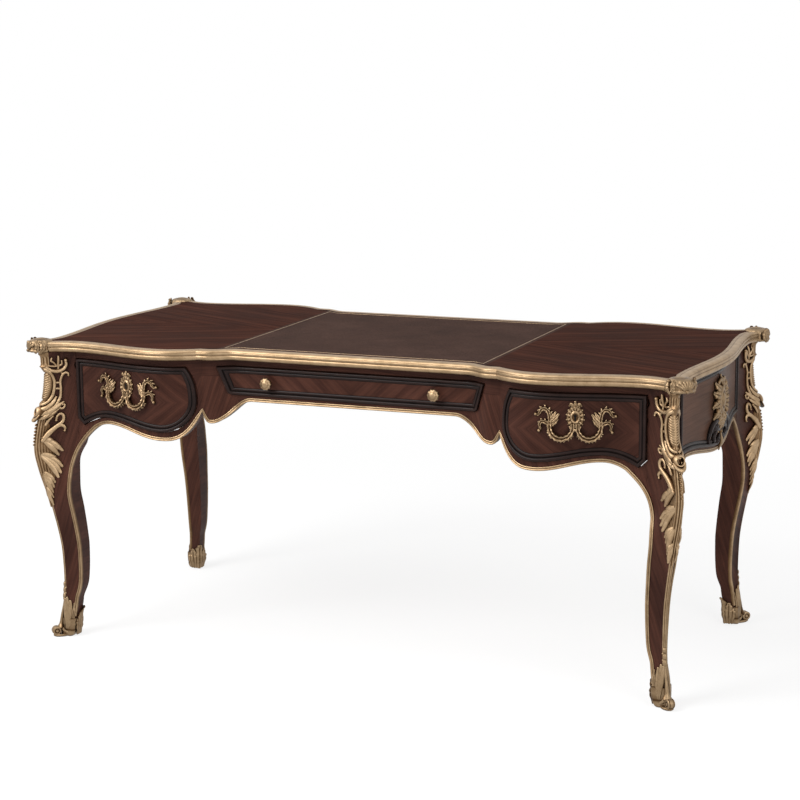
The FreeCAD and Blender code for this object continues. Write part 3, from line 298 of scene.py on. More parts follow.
def on_leg(u, z, height):
    """A point wrapped round the leg's arris: u goes along the front, below 0 along the side."""
    level = min(max(z, LEG_LOW), LEG_HIGH)
    if abs(u) >= CORNER_ROUND:
        point, normal = leg_face(u, level)
    else:
        front, front_normal = leg_face(CORNER_ROUND, level)
        side, side_normal = leg_face(-CORNER_ROUND, level)
        middle = 2 * arris(level) - (front + side) / 2
        t = (CORNER_ROUND - u) / (2 * CORNER_ROUND)
        point = front * (1 - t) ** 2 + middle * 2 * t * (1 - t) + side * t ** 2
        near = front_normal if u > 0 else side_normal
        normal = OUTWARD.lerp(near, abs(u) / CORNER_ROUND).normalized()
    return point + normal * height + Vector((0, 0, z - level))


def off_arris(across, z, height):
    """A point off the leg's arris, in the upright plane across the corner's diagonal."""
    level = min(max(z, LEG_LOW), LEG_HIGH)
    return arris(level) + ACROSS * across + OUTWARD * height + Vector((0, 0, z - level))


def both_ways(place):
    """A placing, and the same on the other side of the middle line."""
    return place, lambda a, b, height: place(-a, b, height)


def moved(place, across, up):
    """The same placing from another middle point."""
    return lambda a, b, height: place(a + across, b + up, height)


# Ornament: ribs, bosses, beads, leaves, petals and crests

# Cross sections of a rib: share of the half width across, share of it up, tone
ROUND_RIB = mirrored(((1.0, -0.5, 0.0), (0.97, 0.2, 0.3), (0.72, 0.68, 0.75), (0.3, 0.95, 1.0)))
GROOVED_RIB = mirrored(((1.0, -0.5, 0.0), (0.98, 0.4, 0.35), (0.76, 0.9, 1.0), (0.42, 0.86, 0.8),
                        (0.0, 0.42, 0.15)))
LEAF_RIB = mirrored(((1.0, -0.4, 0.0), (0.96, 0.14, 0.45), (0.62, 0.42, 0.95), (0.22, 0.46, 0.9),
                     (0.0, 0.28, 0.2)))
PETAL_RIB = mirrored(((1.0, -0.5, 0.0), (0.95, 0.08, 0.4), (0.66, 0.36, 0.85), (0.24, 0.5, 1.0)))

# Rounded ends of a rib: how far on, and how wide, as shares of the half width
BLUNT_END = ((0.55, 0.84), (0.9, 0.45))
TOOTH_DEPTH = 0.17
LEAF_TAPER = (0.5, 0.85, 1.0, 0.92, 0.45)
PETAL_TAPER = (0.4, 0.8, 1.0, 0.95, 0.6)

# A crest's tips, as shares of their size: half widths, middle aside and ahead, tip ahead; and the tip's drop
CREST_WIDTHS = (0.34, 0.42, 0.2)
CREST_MIDDLE = (0.5, 0.1)
CREST_LEAN = 0.5
CREST_DROP = 2

# Dome of a bead: share of its radius across, share of it up, tone
BEAD_PROFILE = ((1.0, -0.6, 0.0), (0.98, 0.15, 0.3),
                *((math.cos(math.radians(a)), math.sin(math.radians(a)), a / 90) for a in (40, 65)),
                (0.12, 1.0, 1.0))


def smooth_line(path, count):
    """Points on a smooth curve through the path's points, which have a height or lie flat."""
    points = [Vector(p) if len(p) == 3 else Vector((p[0], p[1], 0.0)) for p in path]
    ends = [2 * points[0] - points[1]] + points + [2 * points[-1] - points[-2]]
    line = []
    for i in range(len(points) - 1):
        a, b, c, d = ends[i:i + 4]
        for t in steps(0, 1, count)[:-1]:
            line.append(0.5 * (2 * b + (c - a) * t + (2 * a - 5 * b + 4 * c - d) * t ** 2
                               + (3 * b - a - 3 * c + d) * t ** 3))
    return line + [points[-1]]


def spread(values, t):
    """Value at t from 0 to 1 along evenly spaced values."""
    place = t * (len(values) - 1)
    i = min(int(place), len(values) - 2)
    return blend(values[i], values[i + 1], ease(place - i))


def rib(shape, place, path, widths, section=ROUND_RIB, count=5, teeth=0):
    """A tapered rib along a path; widths are half widths spread evenly along it, and teeth nick its edges."""
    line = smooth_line(path, count)
    last = len(line) - 1
    stations = []
    for i, point in enumerate(line):
        ahead = line[min(i + 1, last)] - line[max(i - 1, 0)]
        ahead.z = 0
        nick = 1 + TOOTH_DEPTH * math.cos(2 * math.pi * teeth * i / last) if teeth else 1
        stations.append((point, ahead.normalized(), spread(widths, i / last) * nick))
    first, final = stations[0], stations[-1]
    for on, share in BLUNT_END:
        stations.insert(0, (first[0] - first[1] * first[2] * on, first[1], first[2] * share))
        stations.append((final[0] + final[1] * final[2] * on, final[1], final[2] * share))

    def section_point(station, across, up):
        point, ahead, width = station
        return place(point.x - ahead.y * across * width, point.y + ahead.x * across * width,
                     point.z + up * width)

    shape.sweep(stations, section, section_point)


def boss(shape, place, middle, radii, profile, count, petals=0, depth=0.0):
    """A round or oval boss of rows (share of the radius, height, tone), its rim petalled where asked."""

    def rim_point(angle, share, height):
        size = share * (1 + depth * math.cos(petals * angle))
        return place(middle[0] + radii[0] * size * math.cos(angle),
                     middle[1] + radii[1] * size * math.sin(angle), height)

    shape.stack(profile, turns(count), rim_point)


def bead(shape, place, middle, radius, height):
    """A small dome."""
    profile = [(share, height + up * radius, tone) for share, up, tone in BEAD_PROFILE]
    boss(shape, place, middle, (radius, radius), profile, 10)


def leaf(shape, place, path, width, teeth=4):
    """A leaf with a sunk vein and a toothed edge, from its root to its tip."""
    rib(shape, place, path, [width * share for share in LEAF_TAPER], LEAF_RIB, 10, teeth)


def petal(shape, place, path, width):
    """A plain rounded leaf."""
    rib(shape, place, path, [width * share for share in PETAL_TAPER], PETAL_RIB, 8)


def crest(shape, place, path, side, count, size):
    """Small leaf tips along one side of a path, leaning forwards."""
    line = smooth_line(path, 6)
    for i in range(count):
        index = int((i + 0.5) / count * (len(line) - 2)) + 1
        point = line[index]
        ahead = line[index + 1] - line[index - 1] if index + 1 < len(line) else point - line[index - 1]
        ahead.z = 0
        ahead.normalize()
        aside = Vector((-ahead.y, ahead.x, 0)) * side
        middle = point + aside * size * CREST_MIDDLE[0] + ahead * size * CREST_MIDDLE[1]
        tip = point + aside * size + ahead * size * CREST_LEAN - Vector((0, 0, CREST_DROP))
        rib(shape, place, [point, middle, tip], [size * share for share in CREST_WIDTHS], PETAL_RIB, 3)


def draw(shape, place, ornaments):
    """Adds ornaments in turn, each given as its function and what that takes after the placing."""
    for kind, *rest in ornaments:
        kind(shape, place, *rest)


# Materials

# Colours of a wood or a gilding, from its dark streaks to its light ones
DARK_WOOD = ((0.027, 0.0102, 0.0074), (0.047, 0.0187, 0.0128), (0.072, 0.0280, 0.0186))
# The side colours are lighter and greyer than the front's: the wood's colour with painted sheen
SIDE_WOOD_AND_SHEEN = ((0.066, 0.0345, 0.0230), (0.080, 0.0425, 0.0285), (0.094, 0.0500, 0.0340))
PLAIN_WOOD = ((0.20, 0.115, 0.060), (0.29, 0.175, 0.095), (0.36, 0.225, 0.130))
GOLDS = ((0.33, 0.225, 0.128), (0.42, 0.293, 0.172), (0.50, 0.357, 0.217))
WHITE = (1, 1, 1)

NOISE_SPAN = (0.3, 0.7)  # most of a noise lies between these values
GRAIN_DEPTH = 140.0
PORE_SHARE = (0.3, 0.13)  # pores are this much of a streak's length and width
CLOUD_SIZE = 170.0
SPECULAR = "Specular IOR Level"


def new_material(name):
    """A node material and its tree."""
    made = bpy.data.materials.new(name)
    made.use_nodes = True
    return made, made.node_tree


def node(tree, kind, inputs=None, **settings):
    """A shader node with its settings, and inputs given as values or as sockets to link."""
    made = tree.nodes.new(kind)
    for name, value in settings.items():
        setattr(made, name, value)
    for name, value in (inputs or {}).items():
        if isinstance(value, bpy.types.NodeSocket):
            tree.links.new(value, made.inputs[name])
        else:
            made.inputs[name].default_value = value
    return made


def noise(tree, space, detail=3.0, roughness=0.55, distortion=0.0):
    """Noise whose grain is as large as the space it is given."""
    made = node(tree, "ShaderNodeTexNoise", {"Vector": space, "Scale": 1.0, "Detail": detail,
                                             "Roughness": roughness, "Distortion": distortion})
    return made.outputs["Fac"]


def ramp(tree, value, stops):
    """Colours along a value, as (place, colour) stops."""
    made = node(tree, "ShaderNodeValToRGB", {"Fac": value})
    elements = made.color_ramp.elements
    while len(elements) < len(stops):
        elements.new(0.5)
    for element, (place, colour) in zip(elements, stops):
        element.position = place
        element.color = (*colour, 1.0)
    return made.outputs["Color"]


def spans(tree, value, low, high, new_low, new_high):
    """A value moved from one span to another, held at its ends."""
    made = node(tree, "ShaderNodeMapRange", {"Value": value, "From Min": low, "From Max": high,
                                             "To Min": new_low, "To Max": new_high})
    return made.outputs["Result"]


def multiplied(tree, colour, other, share=1.0):
    """One colour darkened by another."""
    made = node(tree, "ShaderNodeMix", {"Factor": share}, data_type="RGBA", blend_type="MULTIPLY")
    tree.links.new(colour, made.inputs[6])
    tree.links.new(other, made.inputs[7])
    return made.outputs[2]


def space(tree, size, turn=(0, 0, 0), middle=(0, 0, 0), folded=True):
    """Object coordinates in steps of a size in millimetres, mirrored as matched veneers are if folded."""
    coords = node(tree, "ShaderNodeTexCoord").outputs["Object"]
    if folded:
        for shift in ((0, 0, 0), middle):
            shifted = node(tree, "ShaderNodeVectorMath", {0: coords, 1: Vector(shift) * MM},
                           operation="SUBTRACT")
            fold = node(tree, "ShaderNodeVectorMath", {0: shifted.outputs[0]}, operation="ABSOLUTE")
            coords = fold.outputs[0]
    angles = [math.radians(a) for a in turn]
    made = node(tree, "ShaderNodeMapping", {"Vector": coords, "Scale": Vector(size) * MM, "Rotation": angles},
                vector_type="TEXTURE")
    return made.outputs["Vector"]


def even_space(tree, size):
    """Object coordinates with the same step along all axes."""
    return space(tree, (size, size, size), folded=False)


def tone_of(tree):
    """The tone of the shape's points."""
    return node(tree, "ShaderNodeAttribute", attribute_name="tone").outputs["Fac"]


def finished(made, colour, rough_noise, rough, relief, **values):
    """Joins colour, roughness, relief (height, strength, millimetres) and plain values to the main shader."""
    tree = made.node_tree
    shader = tree.nodes["Principled BSDF"]
    height, strength, distance = relief
    bump = node(tree, "ShaderNodeBump", {"Height": height, "Strength": strength, "Distance": distance * MM})
    tree.links.new(colour, shader.inputs["Base Color"])
    tree.links.new(spans(tree, rough_noise, *NOISE_SPAN, *rough), shader.inputs["Roughness"])
    tree.links.new(bump.outputs["Normal"], shader.inputs["Normal"])
    for name, value in values.items():
        shader.inputs[name].default_value = value
    return made


def wood(name, long, thin, turn, middle=(0, 0, 0), colours=DARK_WOOD, rough=(0.32, 0.44), gloss=0.06):
    """Polished veneer: streaks along the turned grain, fine pores, a cloud of lighter and darker wood."""
    made, tree = new_material(name)

    def grain(length, width):
        size = (length, width, GRAIN_DEPTH) if turn[2] != 0 else (length, GRAIN_DEPTH, width)
        return space(tree, size, turn, middle)

    streaks = noise(tree, grain(long, thin), 4.0, 0.6, 0.35)
    pores = noise(tree, grain(long * PORE_SHARE[0], thin * PORE_SHARE[1]), 2.0, 0.6)
    cloud = noise(tree, space(tree, (CLOUD_SIZE, CLOUD_SIZE, CLOUD_SIZE), turn, middle), 2.0)
    figure = ramp(tree, streaks, tuple(zip((0.3, 0.52, 0.72), colours)))
    shade = ramp(tree, pores, ((0.34, (0.62, 0.58, 0.56)), (0.5, WHITE)))
    drift = ramp(tree, cloud, ((0.3, (0.72, 0.69, 0.67)), (0.7, (1.2, 1.16, 1.14))))
    colour = multiplied(tree, multiplied(tree, figure, shade, 0.75), drift)
    return finished(made, colour, cloud, rough, (pores, 0.12, 0.4), **{SPECULAR: gloss})


def gilt(name, level=1.0):
    """Old gilding: pale gold on the crests, painted shade with some patina in the hollows, rubbed, cloudy,
    and darker all over at a lower level, which is painted shade for pieces that get less light.
    """
    made, tree = new_material(name)
    cloud = noise(tree, even_space(tree, 26), 4.0, 0.6)
    specks = noise(tree, even_space(tree, 3.2), 3.0, 0.65)
    rubbed = ramp(tree, cloud, [(stop, Vector(gold) * level) for stop, gold in zip((0.3, 0.5, 0.7), GOLDS)])
    dirt = ramp(tree, specks, ((0.3, (0.55, 0.5, 0.44)), (0.48, WHITE)))
    # Painted shade with some patina: the tone darkens the hollows down to a near black brown
    depth = ramp(tree, tone_of(tree), ((0.0, (0.07, 0.045, 0.03)), (0.4, (0.36, 0.29, 0.23)), (0.9, WHITE)))
    colour = multiplied(tree, multiplied(tree, rubbed, dirt, 0.6), depth)
    return finished(made, colour, specks, (0.4, 0.54), (specks, 0.2, 0.35), Metallic=1.0)


def ebonised(name):
    """Black polished wood, browner where the crests are worn, with painted shade darkening its hollows."""
    made, tree = new_material(name)
    grain = noise(tree, even_space(tree, 30), 4.0)
    base = ramp(tree, grain, ((0.3, (0.008, 0.0042, 0.0036)), (0.7, (0.015, 0.0076, 0.0062))))
    # Painted shade: the hollows fall to 0.3 of the base, while real wear browns the crests
    wear_and_shade = ramp(tree, tone_of(tree), ((0.0, (0.3, 0.3, 0.3)), (1.0, (1.3, 1.2, 1.15))))
    colour = multiplied(tree, base, wear_and_shade)
    return finished(made, colour, grain, (0.34, 0.44), (grain, 0.04, 0.3), **{SPECULAR: 0.13})


def hide(name):
    """Dark leather with a fine pebbled grain and slightly rubbed patches."""
    made, tree = new_material(name)
    cells = node(tree, "ShaderNodeTexVoronoi", {"Vector": even_space(tree, 2.4), "Scale": 1.0})
    pebbles = cells.outputs["Distance"]
    patches = noise(tree, even_space(tree, 120), 4.0, 0.6)
    base = ramp(tree, patches, ((0.3, (0.044, 0.0255, 0.0205)), (0.7, (0.074, 0.045, 0.037))))
    creases = ramp(tree, pebbles, ((0.25, WHITE), (0.8, (0.6, 0.58, 0.56))))
    colour = multiplied(tree, base, creases)
    return finished(made, colour, patches, (0.42, 0.58), (pebbles, 0.25, -0.3), **{SPECULAR: 0.001})


def plain_metal(name, dark, bright):
    """Turned or stamped fitting metal with faint clouding."""
    made, tree = new_material(name)
    cloud = noise(tree, even_space(tree, 9), 4.0)
    colour = ramp(tree, cloud, ((0.3, dark), (0.7, bright)))
    return finished(made, colour, cloud, (0.32, 0.5), (cloud, 0.1, 0.2), Metallic=1.0)


# Finishes of the pieces made here: material and slot
# Lower levels of the same gilding are painted shade, for pieces meant to look less lit
gilt_cast = (gilt("gilt_cast"), "gilt_brass")
gilt_painted_shade_mild = (gilt("gilt_painted_shade_mild", 0.82), "gilt_brass")
gilt_painted_shade_strong = (gilt("gilt_painted_shade_strong", 0.68), "gilt_brass")
black = (ebonised("black_moulding"), "ebonised_wood")

# Materials of the CAD pieces
DRAWER_MIDDLE = (585.0, 0.0, 641.0)
leather = hide("leather")
steel = plain_metal("steel", (0.34, 0.33, 0.32), (0.52, 0.51, 0.50))
top_wood = wood("top_veneer", 420.0, 13.0, (0, 0, 24), rough=(0.42, 0.54), gloss=0.001)
drawer_wood = wood("quartered_veneer", 340.0, 15.0, (0, 38, 0), DRAWER_MIDDLE)
feather_wood = wood("feathered_veneer", 300.0, 14.0, (0, -42, 0))
upright_wood = wood("upright_veneer", 340.0, 13.0, (0, 72, 0))
rail_wood = wood("rail_veneer", 380.0, 12.0, (0, 4, 0))
# Painted sheen: lighter, greyer colours stand in for the side's grazing reflection
side_wood_and_sheen = wood("side_veneer_and_sheen", 380.0, 12.0, (0, 4, 0), colours=SIDE_WOOD_AND_SHEEN, gloss=0.03)
plain_wood = wood("plain_wood", 300.0, 9.0, (0, 0, 1), colours=PLAIN_WOOD, rough=(0.5, 0.65), gloss=0.25)

CAD_FINISHES = (
    (top_wood, ("top_veneers",)),
    (leather, ("leather_inset",)),
    (rail_wood, ("front_top_rail", "front_centre_rail", "back_apron")),
    (side_wood_and_sheen, ("side_apron_left", "side_apron_right")),
    (upright_wood, ("front_post_left", "front_post_right", "front_rail_left", "front_rail_right",
                    "leg_front_left", "leg_front_right", "leg_back_left", "leg_back_right")),
    (drawer_wood, ("left_drawer_front", "right_drawer_front")),
    (feather_wood, ("centre_drawer_front",)),
    (plain_wood, ("top_panel", "partition_left", "partition_right", "drawer_runners", "drawer_kickers",
                  "drawer_stops", "left_drawer_boards", "left_drawer_bottom", "right_drawer_boards",
                  "right_drawer_bottom", "centre_drawer_boards", "centre_drawer_bottom")),
    (steel, ("top_screws", "left_drawer_lock", "right_drawer_lock")),
)
for material, names in CAD_FINISHES:
    for name in names:
        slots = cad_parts[name].data.materials
        for i in range(len(slots)):
            slots[i] = material

# Gilt edge of the top: two reeds with fine lines, from the underside to the top, as (reach, height, tone)
EDGE_PROFILE = (
    (0.0, 749.0, 0.3), (15.0, 749.0, 0.5), (20.0, 749.4, 0.7), (24.2, 751.0, 0.9), (26.4, 753.6, 1.0),
    (27.0, 756.0, 1.0), (26.8, 758.8, 1.0), (26.0, 760.8, 0.8), (25.2, 761.5, 0.55), (25.2, 762.3, 0.55),
    (26.0, 763.0, 0.8), (26.8, 764.8, 1.0), (27.0, 766.6, 1.0), (26.7, 768.2, 0.9), (26.2, 768.9, 0.6),
    (26.2, 769.6, 0.6), (25.6, 771.4, 0.95), (23.2, 773.6, 1.0), (19.5, 774.8, 1.0), (15.0, 775.0, 1.0),
    (10.0, 775.0, 0.9), (9.4, 774.5, 0.4), (8.6, 774.5, 0.4), (8.0, 775.0, 0.8), (0.0, 775.0, 0.7),
)
EDGE_END_X = 826.0
EDGE_END_Y = 375.0
EDGE_CREASE = 30.0


def edge_on(place):
    """Places the edge's profile, in which the reach comes before the height."""
    return lambda along, reach, z: place(along, z, reach)


inner_half = (steps(0, CENTRE_HALF, 6) + steps(CENTRE_HALF, SHOULDER_X, 12)[1:]
              + steps(SHOULDER_X, BREAK_X, 3)[1:])
inner_stations = [-x for x in reversed(inner_half[1:])] + inner_half
outer_stations = (steps(BREAK_X, LOBE_X, 12) + steps(LOBE_X, VALLEY_X, 24)[1:]
                  + steps(VALLEY_X, EDGE_END_X, 12)[1:])
outer_edge = Shape().sweep(outer_stations, EDGE_PROFILE, edge_on(front_shift(0)))
front_edge = Shape().sweep(inner_stations, EDGE_PROFILE, edge_on(front_shift(0)))
front_edge.add(outer_edge).add(outer_edge, "x")
right_edge = Shape().sweep(steps(-EDGE_END_Y, EDGE_END_Y, 60), EDGE_PROFILE, edge_on(side_shift))
for edge, side, flip in ((front_edge, "front", ""), (front_edge, "back", "y"),
                         (right_edge, "right", ""), (right_edge, "left", "x")):
    edge.copies(flip).piece(f"edge_reeds_{side}", "table", gilt_painted_shade_mild, [f"edge_moulding_{side}"], EDGE_CREASE)

# Black double mouldings: distance inside the outline, height off the drawer's face, tone
PANEL_PROFILE = (
    (0.0, -1.5, 0.0), (0.0, 2.8, 0.4), (1.1, 4.9, 0.9), (3.2, 6.0, 1.0), (5.6, 5.9, 0.9), (7.6, 4.6, 0.5),
    (8.6, 2.6, 0.1), (9.2, 1.4, 0.0), (9.9, 1.5, 0.0), (10.8, 2.5, 0.5), (12.6, 3.0, 1.0), (14.8, 2.7, 0.8),
    (16.5, 1.8, 0.4), (17.5, 0.6, 0.1), (18.0, -1.5, 0.0),
)

# Side drawer front: outline sizes
LOBE_BOTTOM = (485.0, 566.0)
INNER_X = 400.5
LOBE_SPRING = 645.0
CORNER_LEAN = 22.0
LEAN_POWER = 2.5
OUTER_X = 745.0
ARCH = (645.0, 587.0)
HEEL = (727.0, 561.0)
HEEL_SIDE_Z = 579.0

# Centre drawer front: half widths at its top and its bottom, and the radii of its lower corners
CENTRE_HALF_TOP = 350.0
CENTRE_HALF_LOW = 329.0
CENTRE_CORNER = (14.0, 9.0)

# Side panel
PANEL_HALF = 278.0
PANEL_TOP = 746.0
PANEL_LOW = 556.0
PANEL_RISE = 24.0
PANEL_ARCH_Y = 235.0


def quarter(middle, radii, start, stop, count):
    """Points on part of an ellipse, angles in degrees."""
    angles = [math.radians(a) for a in steps(start, stop, count)]
    return [(middle[0] + radii[0] * math.cos(a), middle[1] + radii[1] * math.sin(a)) for a in angles]


def arch_line(x):
    """Lower edge of the side drawer's outline, right of the lobe."""
    if x <= ARCH[0]:
        return blend(LOBE_BOTTOM[1], ARCH[1], ease(part_way(x, LOBE_BOTTOM[0], ARCH[0])))
    return blend(ARCH[1], HEEL[1], part_way(x, ARCH[0], HEEL[0]) ** 2)


def side_drawer_outline():
    """Right drawer front, clockwise from the lobe's bottom."""
    lobe_radii = (LOBE_BOTTOM[0] - INNER_X, LOBE_SPRING - LOBE_BOTTOM[1])
    lobe = quarter((LOBE_BOTTOM[0], LOBE_SPRING), lobe_radii, 270, 180, 18)
    lean = [(INNER_X + CORNER_LEAN * t ** LEAN_POWER, blend(LOBE_SPRING, FRONT_TOP, t))
            for t in steps(0, 1, 12)[1:]]
    top = [(x, FRONT_TOP) for x in steps(INNER_X + CORNER_LEAN, OUTER_X, 24)[1:]]
    outer = [(OUTER_X, z) for z in steps(FRONT_TOP, HEEL_SIDE_Z, 6)[1:]]
    bottom = [(x, arch_line(x)) for x in steps(HEEL[0], LOBE_BOTTOM[0], 36)[:-1]]
    return lobe + lean + top + outer + bottom


def centre_drawer_outline():
    """Centre drawer front, clockwise from its lower left corner."""
    inner = CENTRE_HALF_LOW - CENTRE_CORNER[0]
    left = quarter((-inner, CENTRE_BOTTOM + CENTRE_CORNER[1]), CENTRE_CORNER, 270, 180, 8)
    left += [(-CENTRE_HALF_TOP, CENTRE_TOP)]
    right = [(-x, z) for x, z in reversed(left)]
    top = [(x, CENTRE_TOP) for x in steps(-CENTRE_HALF_TOP, CENTRE_HALF_TOP, 30)[1:-1]]
    bottom = [(x, CENTRE_BOTTOM) for x in steps(inner, -inner, 20)[1:-1]]
    return left + top + right + bottom


def side_panel_outline():
    """Panel on the right side, along y."""
    bottom = [(y, PANEL_LOW + PANEL_RISE * ease(min(abs(y) / PANEL_ARCH_Y, 1.0)))
              for y in steps(PANEL_HALF, -PANEL_HALF, 36)]
    return [(y, PANEL_TOP) for y in steps(-PANEL_HALF, PANEL_HALF, 24)] + bottom


def inward(outline, distance):
    """An outline moved inside itself, corners mitred; the outline runs clockwise."""
    count = len(outline)
    moved_points = []
    for i, (x, z) in enumerate(outline):
        before = Vector(outline[i]) - Vector(outline[i - 1])
        after = Vector(outline[(i + 1) % count]) - Vector(outline[i])
        first = Vector((before.y, -before.x)).normalized()
        second = Vector((after.y, -after.x)).normalized()
        both = first + second
        shift = both * (2 / both.length_squared)
        moved_points.append((x + shift.x * distance, z + shift.y * distance))
    return moved_points


def panel_frame(outline, point):
    """A double moulding round an outline, closed behind."""
    shape = Shape()
    rows = []
    for distance, height, tone in PANEL_PROFILE:
        ring = [point(a, b, height) for a, b in inward(outline, distance)]
        rows.append(shape.row(ring, [tone] * len(ring)))
    shape.skin(rows + rows[:1])
    return shape


drawer_frame = panel_frame(side_drawer_outline(), front_shift(FACE_REACH))
on_both_drawers(drawer_frame, "drawer_beading", black, "moulding")
panel_frame(centre_drawer_outline(), front_shift(FACE_REACH)).piece(
    "drawer_beading_centre", "centre_drawer", black, ["centre_drawer_moulding"])
back_frames = panel_frame(side_drawer_outline(), front_shift(0)).copies("y", "xy")
back_frames.add(panel_frame(centre_drawer_outline(), front_shift(0)), "y")
back_frames.piece("back_beading", "table", black, ["back_panel_mouldings"])
side_frames = panel_frame(side_panel_outline(), side_shift).copies("", "x")
side_frames.piece("side_beading", "table", black, ["side_panel_mouldings"])

# Gilt band along the lower edges: distance into the wood from the edge, height off the face, tone
BAND_PROFILE = (
    (2.0, -6.0, 0.0), (-0.5, -6.0, 0.2), (-0.7, 1.0, 0.7), (0.4, 2.7, 1.0), (2.0, 3.2, 1.0), (3.5, 2.6, 0.7),
    (4.3, 1.7, 0.45), (5.0, 1.7, 0.45), (5.8, 2.2, 0.8), (7.0, 2.3, 1.0), (8.2, 1.5, 0.7), (8.6, -2.0, 0.0),
)

# Lower edge of the front, from the middle outwards: turning points and where the leg takes over
KNEE_HOLE = (268.0, 645.0)
PENDANT = (366.0, 589.0)
CUSP = (391.0, 617.0)
LOBE_LOW = (485.0, 544.0)
ARCH_TOP = (645.0, 570.0)
FRONT_SPRING = (746.5, 504.6)

# Lower edge of a side, from its middle towards the front leg
SIDE_LOW = (0.0, 543.0)
SIDE_ARCH = (235.0, 567.0)
SIDE_SPRING = (290.0, 530.0)

BAND_STEP = 7.0
BAND_FOOT = 54.0
BAND_BITE = 3.0
BAND_SEARCH = 60.0  # the leg's inner edge is looked for from this far beside the last one
SOFTEN_REACH = 55.0  # the turn into the leg is softened this far to both sides
SOFTEN_ROUNDS = 24


def curve(start, stop, bend, least):
    """Points from start to stop in at least so many steps, bent along the second measure."""
    count = max(least, int(abs(stop[0] - start[0]) / BAND_STEP))
    return [(blend(start[0], stop[0], t), blend(start[1], stop[1], bend(t))) for t in steps(0, 1, count)]


def blended(start, stop):
    """Points on a cosine step between two points."""
    return curve(start, stop, ease, 2)


def powered(start, stop, power):
    """Points on a curve that leaves the start level and bends towards the stop."""
    return curve(start, stop, lambda t: t ** power, 4)


def down_the_leg(turn, spring):
    """Inner edge of the front right leg's face below the apron, with the face's normals."""
    along, out, back = turn(1, 0, 0), turn(0, 1, 0), turn(0, -1, 0)
    line, normals = [], []
    reach = spring[0]
    for z in steps(spring[1], BAND_FOOT, int((spring[1] - BAND_FOOT) / BAND_STEP))[1:]:
        face = hit_leg(turn(reach + 2 * BAND_BITE, BAND_RAY, z), back)[0]
        inner = hit_leg(turn(reach - BAND_SEARCH, face.dot(out) - BAND_BITE, z), along)[0]
        reach = inner.dot(along)
        front, normal = hit_leg(turn(reach + BAND_BITE, BAND_RAY, z), back)
        line.append(turn(reach, front.dot(out), z))
        normals.append(normal)
    return line, normals


def softened(values, start, stop):
    """Vectors evened out between two places in a row."""
    for _ in range(SOFTEN_ROUNDS):
        inner = [(values[i - 1] + 2 * values[i] + values[i + 1]) / 4 for i in range(start, stop)]
        values = values[:start] + inner + values[stop:]
    return values


def band_half(edge, place, turn, spring, hand):
    """Half of a band: along the apron's edge and down the leg."""
    leg_line, leg_normals = down_the_leg(turn, spring)
    reach = int(SOFTEN_REACH / BAND_STEP)
    span = (len(edge) - reach, len(edge) + reach)
    line = softened([place(a, z, 0) for a, z in edge] + leg_line, *span)
    normals = softened([place(a, z, 1) - place(a, z, 0) for a, z in edge] + leg_normals, *span)
    stations = []
    for i, (point, normal) in enumerate(zip(line, normals)):
        ahead = (line[min(i + 1, len(line) - 1)] - line[max(i - 1, 0)]).normalized()
        stations.append((point, normal.cross(ahead).normalized() * hand, normal.normalized()))

    def band_point(station, into, height):
        point, inward_way, outward_way = station
        return point + inward_way * into + outward_way * height

    return Shape().sweep(stations, BAND_PROFILE, band_point)


front_line = [(0.0, KNEE_HOLE[1])] + blended(KNEE_HOLE, PENDANT) + powered(PENDANT, CUSP, 3)[1:]
front_line += powered(LOBE_LOW, CUSP, 3)[-2::-1] + blended(LOBE_LOW, ARCH_TOP)[1:]
front_line += powered(ARCH_TOP, FRONT_SPRING, 2)[1:]
side_line = blended(SIDE_LOW, SIDE_ARCH) + powered(SIDE_ARCH, SIDE_SPRING, 2)[1:]
front_band = band_half(front_line, on_front, lambda a, d, z: Vector((a, -d, z)), FRONT_SPRING, 1)
side_band = band_half(side_line, both_ways(on_side)[1], lambda a, d, z: Vector((d, -a, z)), SIDE_SPRING, -1)
for band, side, flips in ((front_band, "front", ("", "x")), (front_band, "back", ("y", "xy")),
                          (side_band, "right", ("", "y")), (side_band, "left", ("x", "xy"))):
    band.copies(*flips).piece(f"band_cast_{side}", "table", gilt_painted_shade_mild, [f"apron_band_{side}"])

# Tooled line round the leather: place inside the leather's outline, and its rows of (inset, rise)
TOOL_INSET = 10.0
TOOL_ROWS = ((0.0, -0.3), (0.3, 0.25), (1.9, 0.25), (2.2, -0.3))
TOOL_TONE = 0.8
LEATHER_HALF = 350.0
LEATHER_REACH = -6.0


def leather_edge(inset):
    """Outline of the leather, moved inside."""
    half = LEATHER_HALF - inset
    front = [(x, -half_depth(x) - LEATHER_REACH + inset) for x in steps(-half, half, 48)]
    back = [(-x, -y) for x, y in front]
    return front + back


tooling = Shape()
tool_rows = []
for inset, rise in TOOL_ROWS:
    outline = [(x, y, TABLE_TOP + rise) for x, y in leather_edge(TOOL_INSET + inset)]
    tool_rows.append(tooling.row(outline, [TOOL_TONE] * len(outline)))
tooling.skin(tool_rows + tool_rows[:1])
tooling.piece("leather_tooling", "table", gilt_cast)

